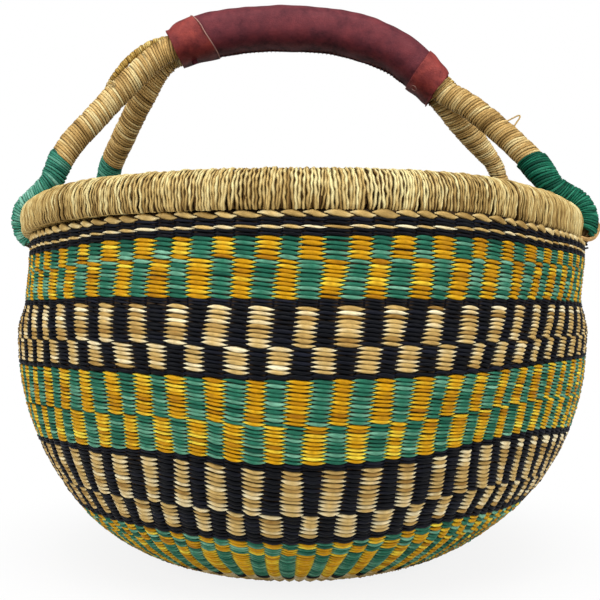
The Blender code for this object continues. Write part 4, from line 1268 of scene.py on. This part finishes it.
grip_at = np.linspace(front["grip_start"], front["grip_end"], GRIP_STATIONS)
grip_front = read_route(front["rows"][:, :3], front["lengths"], grip_at)
grip_upward = np.cross(unit(np.gradient(grip_front, axis=0)), (0.0, 1.0, 0.0))
filler_top = math.sqrt((ARCH_RADIUS + FILLER_RADIUS) ** 2 - ARCH_SPREAD ** 2) + FILLER_RADIUS
grip_lift = (filler_top - ARCH_RADIUS) / 2
snug_width = ARCH_SPREAD + ARCH_RADIUS + GRIP_EASE
grip_fall = (1.0 - (ARCH_SPREAD / snug_width) ** SECTION_POWER) ** (1 / SECTION_POWER)
snug_height = (ARCH_RADIUS + grip_lift + GRIP_EASE) / (grip_fall * math.cos(math.pi / SECTION_FACETS))
grip_middle = grip_front + np.array([0.0, ARCH_SPREAD, 0.0]) + grip_upward * grip_lift
grip_length = np.concatenate([[0.0], np.cumsum(np.linalg.norm(np.diff(grip_middle, axis=0), axis=1))])
GRIP_WHOLE = grip_length[-1]


def grip_surface(at, turn, lift):
    """Points over the grip at lengths along it and turns round it; half a turn is its front."""
    from_left, from_right = at - GRIP_START, GRIP_WHOLE - at
    nearest = np.minimum(from_left, from_right)
    pull = MIDDLE_PULL * np.sqrt(np.clip(np.sin(np.pi * at / GRIP_WHOLE), 0.0, 1.0))
    taper = LEFT_TAPER * np.clip(1.0 - from_left / LEFT_TAPER_RUN, 0.0, 1.0) ** TAPER_POWER
    taper = taper + RIGHT_TAPER * np.clip(1.0 - from_right / RIGHT_TAPER_RUN, 0.0, 1.0) ** TAPER_POWER
    taper = taper + END_PINCH * np.clip(1.0 - nearest / END_PINCH_RUN, 0.0, 1.0) ** END_PINCH_POWER
    side, rise = np.cos(turn), np.sin(turn)
    pull = pull + taper * np.where(rise > 0.0, 1.0, UNDER_TAPER_SHARE)
    across = np.sign(side) * np.abs(side) ** (2 / SECTION_POWER) * (snug_width + lift)
    height = np.sign(rise) * np.abs(rise) ** (2 / SECTION_POWER) * (snug_height - pull + lift)
    points = read_route(grip_middle, grip_length, at) + np.array([0.0, 1.0, 0.0]) * across[..., None]
    return points + read_route(grip_upward, grip_length, at) * height[..., None]


def grip_skin(name, node, low, high, rows, skin, creases, seed, finish, slants=(0.0, 0.0)):
    """Leather round the grip between two lengths along it, at a height over the arches.

    Slants say how much further the two ends reach at the top than in the middle. A value goes with each
    point that is part rubbing and part painted light: the leather is painted darker underneath, towards the
    back and in the hollows of its creases, as shade, and redder on the upper front, as light and rubbing.
    """
    draw = np.random.default_rng(seed)
    share = np.linspace(0.0, 1.0, rows)[:, None] * np.ones(GRIP_AROUND)
    turn = 2 * np.pi * np.arange(GRIP_AROUND) / GRIP_AROUND * np.ones((rows, 1))
    at = low + (high - low) * share + (slants[0] * (1.0 - share) + slants[1] * share) * np.sin(turn)
    at = np.clip(at, 0.0, GRIP_WHOLE)
    fold = np.zeros(at.shape)
    for _ in range(creases):
        angle, scale = draw.normal(0.0, CREASE_TURN), draw.uniform(*CREASE_SCALES)
        wave = at * CREASE_WAVES_ALONG * scale * math.cos(angle)
        wave = wave + turn * round(CREASE_WAVES_ROUND * scale * math.sin(angle))
        fold += np.sin(wave + draw.uniform(0.0, 6.28)) / scale
    fold = fold / max(1, creases) * CREASE_DEPTH
    points = grip_surface(at, turn, skin + LEATHER_THICKNESS + fold)
    faces = []
    for i in range(rows - 1):
        for j in range(GRIP_AROUND):
            k = (j + 1) % GRIP_AROUND
            a, b = i * GRIP_AROUND, (i + 1) * GRIP_AROUND
            faces.append((a + j, a + k, b + k, b + j))
    mesh = bpy.data.meshes.new(name)
    mesh.from_pydata(points.reshape(-1, 3).tolist(), [], faces)
    mesh.shade_smooth()
    # Paler on the upper front and on the crests of creases, darker underneath, towards the back and in
    # crease hollows: part rubbing, part painted light and shade
    wear_and_light = 0.5 + 0.5 * np.cos(turn - math.pi + 0.5) + fold / CREASE_DEPTH * 0.35
    wear_and_light = wear_and_light.astype(np.float32).reshape(-1)
    mesh.attributes.new("wear_and_light", "FLOAT", "POINT").data.foreach_set("value", wear_and_light)
    made = bpy.data.objects.new(name, mesh)
    bpy.context.scene.collection.objects.link(made)
    solid = made.modifiers.new("hide thickness", "SOLIDIFY")
    solid.thickness = LEATHER_THICKNESS
    solid.offset = -1.0
    mesh.materials.append(finish)
    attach(made, "root")
    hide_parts(node)


# Patches of the dye are about 10 mm across, the fine creases 4 mm and the grain 1 mm: the scales are
# how many stand in a metre
PATCH_SCALE = 95.0
FINE_CREASE_SCALE = 260.0
GRAIN_SCALE = 900.0
GRAIN_RELIEF = 0.0005
# How far the rubbing and painted light and shade move the leather along its colours, and how far they shift
# it
WEAR_AND_LIGHT_SHARE = 0.26
WEAR_AND_LIGHT_SHIFT = -0.16
LEATHER_SPECULAR = 0.22


def leather_finish(name, deep, usual, pale, roughness):
    """Dyed goat leather: patches of uneven dye, fine grain and shallow creases, made paler and darker by a
    value on each point that is part rubbing and part painted light and shade.
    """
    finish = bpy.data.materials.new(name)
    finish.use_nodes = True
    tree = finish.node_tree
    shader = tree.nodes["Principled BSDF"]
    where = add_node(tree, "TexCoord").outputs["Object"]
    wear_and_light = add_node(tree, "Attribute", {"attribute_name": "wear_and_light"})
    patches = add_node(
        tree, "TexNoise", {"Scale": PATCH_SCALE, "Detail": 6.0, "Roughness": 0.66}, {"Vector": where}
    )
    rubbed_and_lit = add_node(
        tree, "Math", {"operation": "MULTIPLY_ADD", 1: WEAR_AND_LIGHT_SHARE, 2: WEAR_AND_LIGHT_SHIFT}, {0: wear_and_light.outputs["Fac"]}
    )
    amount = add_node(tree, "Math", {"operation": "ADD"}, {0: patches.outputs["Fac"], 1: rubbed_and_lit.outputs[0]})
    ramp = add_node(tree, "ValToRGB", {}, {"Fac": amount.outputs[0]})
    ramp.color_ramp.elements[0].position = 0.30
    ramp.color_ramp.elements[0].color = (*linear(deep), 1.0)
    ramp.color_ramp.elements[1].position = 0.74
    ramp.color_ramp.elements[1].color = (*linear(pale), 1.0)
    ramp.color_ramp.elements.new(0.5).color = (*linear(usual), 1.0)
    tree.links.new(ramp.outputs["Color"], shader.inputs["Base Color"])
    grain = add_node(tree, "TexVoronoi", {"Scale": GRAIN_SCALE}, {"Vector": where})
    crease = add_node(
        tree, "TexNoise", {"Scale": FINE_CREASE_SCALE, "Detail": 6.0, "Roughness": 0.7}, {"Vector": where}
    )
    both = add_node(
        tree, "Math", {"operation": "ADD"}, {0: grain.outputs["Distance"], 1: crease.outputs["Fac"]}
    )
    relief = add_node(
        tree, "Bump", {"Strength": 0.35, "Distance": GRAIN_RELIEF}, {"Height": both.outputs[0]}
    )
    tree.links.new(relief.outputs[0], shader.inputs["Normal"])
    shine = add_node(
        tree,
        "MapRange",
        {"From Min": 0.3, "From Max": 0.7, "To Min": roughness + 0.1, "To Max": roughness - 0.1},
        {"Value": patches.outputs["Fac"]},
    )
    tree.links.new(shine.outputs[0], shader.inputs["Roughness"])
    shader.inputs["Specular IOR Level"].default_value = LEATHER_SPECULAR
    return finish


GRIP_LEATHER = leather_finish("maroon goat leather", "#36131C", "#58222A", "#6C2B31", 0.64)
CUFF_LEATHER = leather_finish("red brown goat leather", "#3E1417", "#6C2727", "#8E3A33", 0.60)
# Heights of the cuffs' and the sleeve's skin over the snug section
CUFF_STEP = 0.0007
SLEEVE_STEP = -0.0002
grip_skin(
    "grip_leather", "grip_sleeve", GRIP_START, GRIP_WHOLE, SLEEVE_ROWS,
    SLEEVE_STEP, 12, 100, GRIP_LEATHER,
)
grip_skin(
    "grip_cuff_leather_left", "grip_cuff_left", CUFF_START_LEFT, CUFF_LENGTH_LEFT, 26,
    CUFF_STEP, 3, 101, CUFF_LEATHER, CUFF_SLANTS_LEFT,
)
grip_skin(
    "grip_cuff_leather_right", "grip_cuff_right", GRIP_WHOLE - CUFF_LENGTH_RIGHT,
    GRIP_WHOLE, 22, CUFF_STEP, 3, 102, CUFF_LEATHER, CUFF_SLANTS_RIGHT,
)

# Seam: the two edges of the leather meet under the grip as a low lip, with thread sewn over it.
# The cuffs are closed with a thin pale edge on the left and a knotted thread on the right.
SEAM_TURN = math.radians(276.0)
DYES["lip"] = ("#2C0F16", "#3E171E", "#532229")
DYES["thread"] = ("#6E4440", "#8E5F58", "#B78C80")
SEWN_EDGE = grass_finish("leather edge and sewing thread", 0.60, 0.12)


def sewn(name, frame_of_line, thick, wide, dye, amount):
    """Lips or threads on the grip, each through a row of points, with two directions square to it."""
    middle, out, over = frame_of_line
    tint = tones(dye, np.full(middle.shape[:2], amount))
    size = np.ones(middle.shape[:2])
    made = straw_mesh(name, middle, out, over, size * thick, size * wide, tint, 6, closed=False)
    made.data.materials.append(SEWN_EDGE)
    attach(made, "root")


def line_on_grip(at, turn, lift, out=None):
    """A line's places on the grip, the direction off the grip, and the one square to that and the line."""
    place = grip_surface(at, turn, lift)
    if out is None:
        out = unit(grip_surface(at, turn, lift + 0.001) - place)
    else:
        out = np.zeros(place.shape) + np.array(out)
    return place, out, np.cross(unit(np.gradient(place, axis=1)), out)


LIP_START = CUFF_LENGTH_LEFT + 0.004
LIP_END = GRIP_WHOLE - CUFF_LENGTH_RIGHT - 0.002
LIP_HALF_THICKNESS = 0.0005
LIP_HALF_WIDTH = 0.0012
# The seam wavers by this turn, with this many radians in a metre
LIP_WAVER = 0.03
LIP_WAVER_WAVES = 130.0
lip_at = np.linspace(LIP_START, LIP_END, 90)[None, :]
lip_turn = SEAM_TURN + LIP_WAVER * np.sin(lip_at * LIP_WAVER_WAVES)
lip_line = line_on_grip(lip_at, lip_turn, LEATHER_THICKNESS)
sewn("grip_seam_lip", lip_line, LIP_HALF_THICKNESS, LIP_HALF_WIDTH, "lip", 0.5)

# Each stitch goes over the lip at a slant, and both of its ends go down into the leather
SEAM_STITCHES = 46
STITCH_SLANT_ALONG = 0.0009
STITCH_REACH = 0.16
STITCH_HEIGHTS = (-0.0004, 0.0004, 0.0007, 0.0004, -0.0004)
THREAD_RADIUS = 0.00028
thread_share = np.linspace(-1.0, 1.0, len(STITCH_HEIGHTS))
stitch_middle = np.linspace(lip_at[0, 2], lip_at[0, -3], SEAM_STITCHES)[:, None]
stitch_at = stitch_middle + STITCH_SLANT_ALONG * thread_share
stitch_turn = SEAM_TURN + STITCH_REACH * thread_share * np.ones((SEAM_STITCHES, 1))
stitch_line = line_on_grip(stitch_at, stitch_turn, LEATHER_THICKNESS + np.array(STITCH_HEIGHTS))
sewn("grip_seam_stitches", stitch_line, THREAD_RADIUS, THREAD_RADIUS, "thread", 0.2)

CUFF_EDGE_TURNS = (70.0, 285.0)
CUFF_EDGE_INSET = 0.0002
CUFF_EDGE_RADIUS = 0.00045
edge_turn = np.radians(np.linspace(*CUFF_EDGE_TURNS, 40))[None, :]
edge_at = CUFF_LENGTH_LEFT - CUFF_EDGE_INSET - CUFF_SLANT_LEFT * np.sin(edge_turn)
edge_line = line_on_grip(edge_at, edge_turn, CUFF_STEP + LEATHER_THICKNESS)
sewn("grip_cuff_edge_left", edge_line, CUFF_EDGE_RADIUS, CUFF_EDGE_RADIUS, "thread", 0.9)

# The left cuff's end hangs down at the front as a small tab
TAB_PLACE = 0.0125
TAB_TURN = math.radians(262.0)
TAB_LIFTS = (-0.0006, 0.0036)
TOWARDS_FRONT = (0.0, -1.0, 0.0)
TAB_ACROSS = (0.93, 0.0, 0.37)
TAB_HALF_THICKNESS = 0.0007
TAB_HALF_WIDTH = 0.0022
grid = np.ones((1, 6))
tab_lift = LEATHER_THICKNESS + np.linspace(*TAB_LIFTS, 6) * grid
tab_place = grip_surface(TAB_PLACE * grid, TAB_TURN * grid, tab_lift)
tab_line = (tab_place, grid[..., None] * np.array(TOWARDS_FRONT), grid[..., None] * np.array(TAB_ACROSS))
sewn("grip_cuff_tab_left", tab_line, TAB_HALF_THICKNESS, TAB_HALF_WIDTH, "lip", 0.8)

# The thread on the right is a small loop, a little more than once round, on the front of its cuff
KNOT_TURNS = 1.15
KNOT_FROM_END = 0.0138
KNOT_REACH = 0.0021
KNOT_TURN = math.radians(251.0)
KNOT_TURN_REACH = 0.15
KNOT_LIFT = 0.0003
KNOT_RADIUS = 0.0005
knot_swing = np.linspace(0.0, 2 * np.pi * KNOT_TURNS, 22)[None, :]
knot_at = GRIP_WHOLE - KNOT_FROM_END + KNOT_REACH * np.cos(knot_swing)
knot_turn = KNOT_TURN + KNOT_TURN_REACH * np.sin(knot_swing)
knot_line = line_on_grip(knot_at, knot_turn, CUFF_STEP + LEATHER_THICKNESS + KNOT_LIFT, TOWARDS_FRONT)
sewn("grip_cuff_knot_right", knot_line, KNOT_RADIUS, KNOT_RADIUS, "thread", 0.9)

# Studio: a white floor and surround, a large soft lamp on each side and one above, and the camera
# level with the middle of the basket.
CAMERA_DISTANCE = 0.660
CAMERA_HEIGHT = 0.1783
LENS = 53.49
SHIFT_X = -0.0025
SHIFT_Y = 0.005

camera_data = bpy.data.cameras.new("camera")
camera_data.lens = LENS
camera_data.sensor_width = 36.0
camera_data.shift_x = SHIFT_X
camera_data.shift_y = SHIFT_Y
camera = bpy.data.objects.new("camera", camera_data)
camera.location = (0.0, -CAMERA_DISTANCE, CAMERA_HEIGHT)
camera.rotation_euler = (math.radians(90.0), 0.0, 0.0)
bpy.context.scene.collection.objects.link(camera)
bpy.context.scene.camera = camera

FLOOR_HALF = 3.0
floor_corners = [(FLOOR_HALF * x, FLOOR_HALF * y, 0.0) for x, y in ((-1, -1), (1, -1), (1, 1), (-1, 1))]
floor_mesh = bpy.data.meshes.new("floor")
floor_mesh.from_pydata(floor_corners, [], [(0, 1, 2, 3)])
floor = bpy.data.objects.new("floor", floor_mesh)
bpy.context.scene.collection.objects.link(floor)
paper = bpy.data.materials.new("white paper")
paper.use_nodes = True
tree = paper.node_tree
shader = tree.nodes["Principled BSDF"]
shader.inputs["Base Color"].default_value = (0.86, 0.86, 0.86, 1.0)
shader.inputs["Roughness"].default_value = 0.9
floor_mesh.materials.append(paper)

# The camera sees the paper as white, apart from a soft shadow near the basket
SHADOW_START = 0.1
SHADOW_REACH = 0.30
SHADOW_SHARE = 0.15
where = add_node(tree, "NewGeometry")
distance = add_node(tree, "VectorMath", {"operation": "LENGTH"}, {0: where.outputs["Position"]})
fade = {"From Min": SHADOW_START, "From Max": SHADOW_REACH, "To Min": 1.0 - SHADOW_SHARE}
away = add_node(
    tree, "MapRange", {"interpolation_type": "SMOOTHSTEP", **fade}, {"Value": distance.outputs["Value"]}
)
path = add_node(tree, "LightPath").outputs["Is Camera Ray"]
white = add_node(tree, "Math", {"operation": "MULTIPLY"}, {0: away.outputs[0], 1: path})
glow = add_node(tree, "Emission", {"Color": (1.0, 1.0, 1.0, 1.0), "Strength": 1.0})
mixed = add_node(
    tree, "MixShader", {}, {0: white.outputs[0], 1: shader.outputs[0], 2: glow.outputs[0]}
)
tree.links.new(mixed.outputs[0], tree.nodes["Material Output"].inputs["Surface"])

# The surround lights the basket evenly, and the camera sees it as white
SURROUND_STRENGTH = 0.34
world = bpy.data.worlds.new("studio")
bpy.context.scene.world = world
world.use_nodes = True
tree = world.node_tree
background = tree.nodes["Background"]
background.inputs["Color"].default_value = (1.0, 1.0, 1.0, 1.0)
path = add_node(tree, "LightPath").outputs["Is Camera Ray"]
strength = add_node(tree, "MapRange", {"To Min": SURROUND_STRENGTH, "To Max": 1.0}, {"Value": path})
tree.links.new(strength.outputs[0], background.inputs["Strength"])

LAMP_AIM = (0.0, 0.0, 0.15)
LAMPS = (
    ("left_lamp", (-1.1, -0.9, 0.75), 0.8, 10.5),
    ("right_lamp", (1.1, -0.9, 0.75), 0.8, 10.0),
    ("top_lamp", (0.0, -0.7, 1.4), 0.9, 13.0),
)
for lamp_name, lamp_place, lamp_size, power in LAMPS:
    light = bpy.data.lights.new(lamp_name, "AREA")
    light.size = lamp_size
    light.energy = power
    lamp = bpy.data.objects.new(lamp_name, light)
    lamp.location = lamp_place
    aim = np.array(LAMP_AIM) - np.array(lamp_place)
    lamp.rotation_euler = (
        math.atan2(math.hypot(aim[0], aim[1]), -aim[2]),
        0.0,
        math.atan2(aim[1], aim[0]) - math.pi / 2,
    )
    bpy.context.scene.collection.objects.link(lamp)

bpy.context.scene.view_settings.view_transform = "Standard"
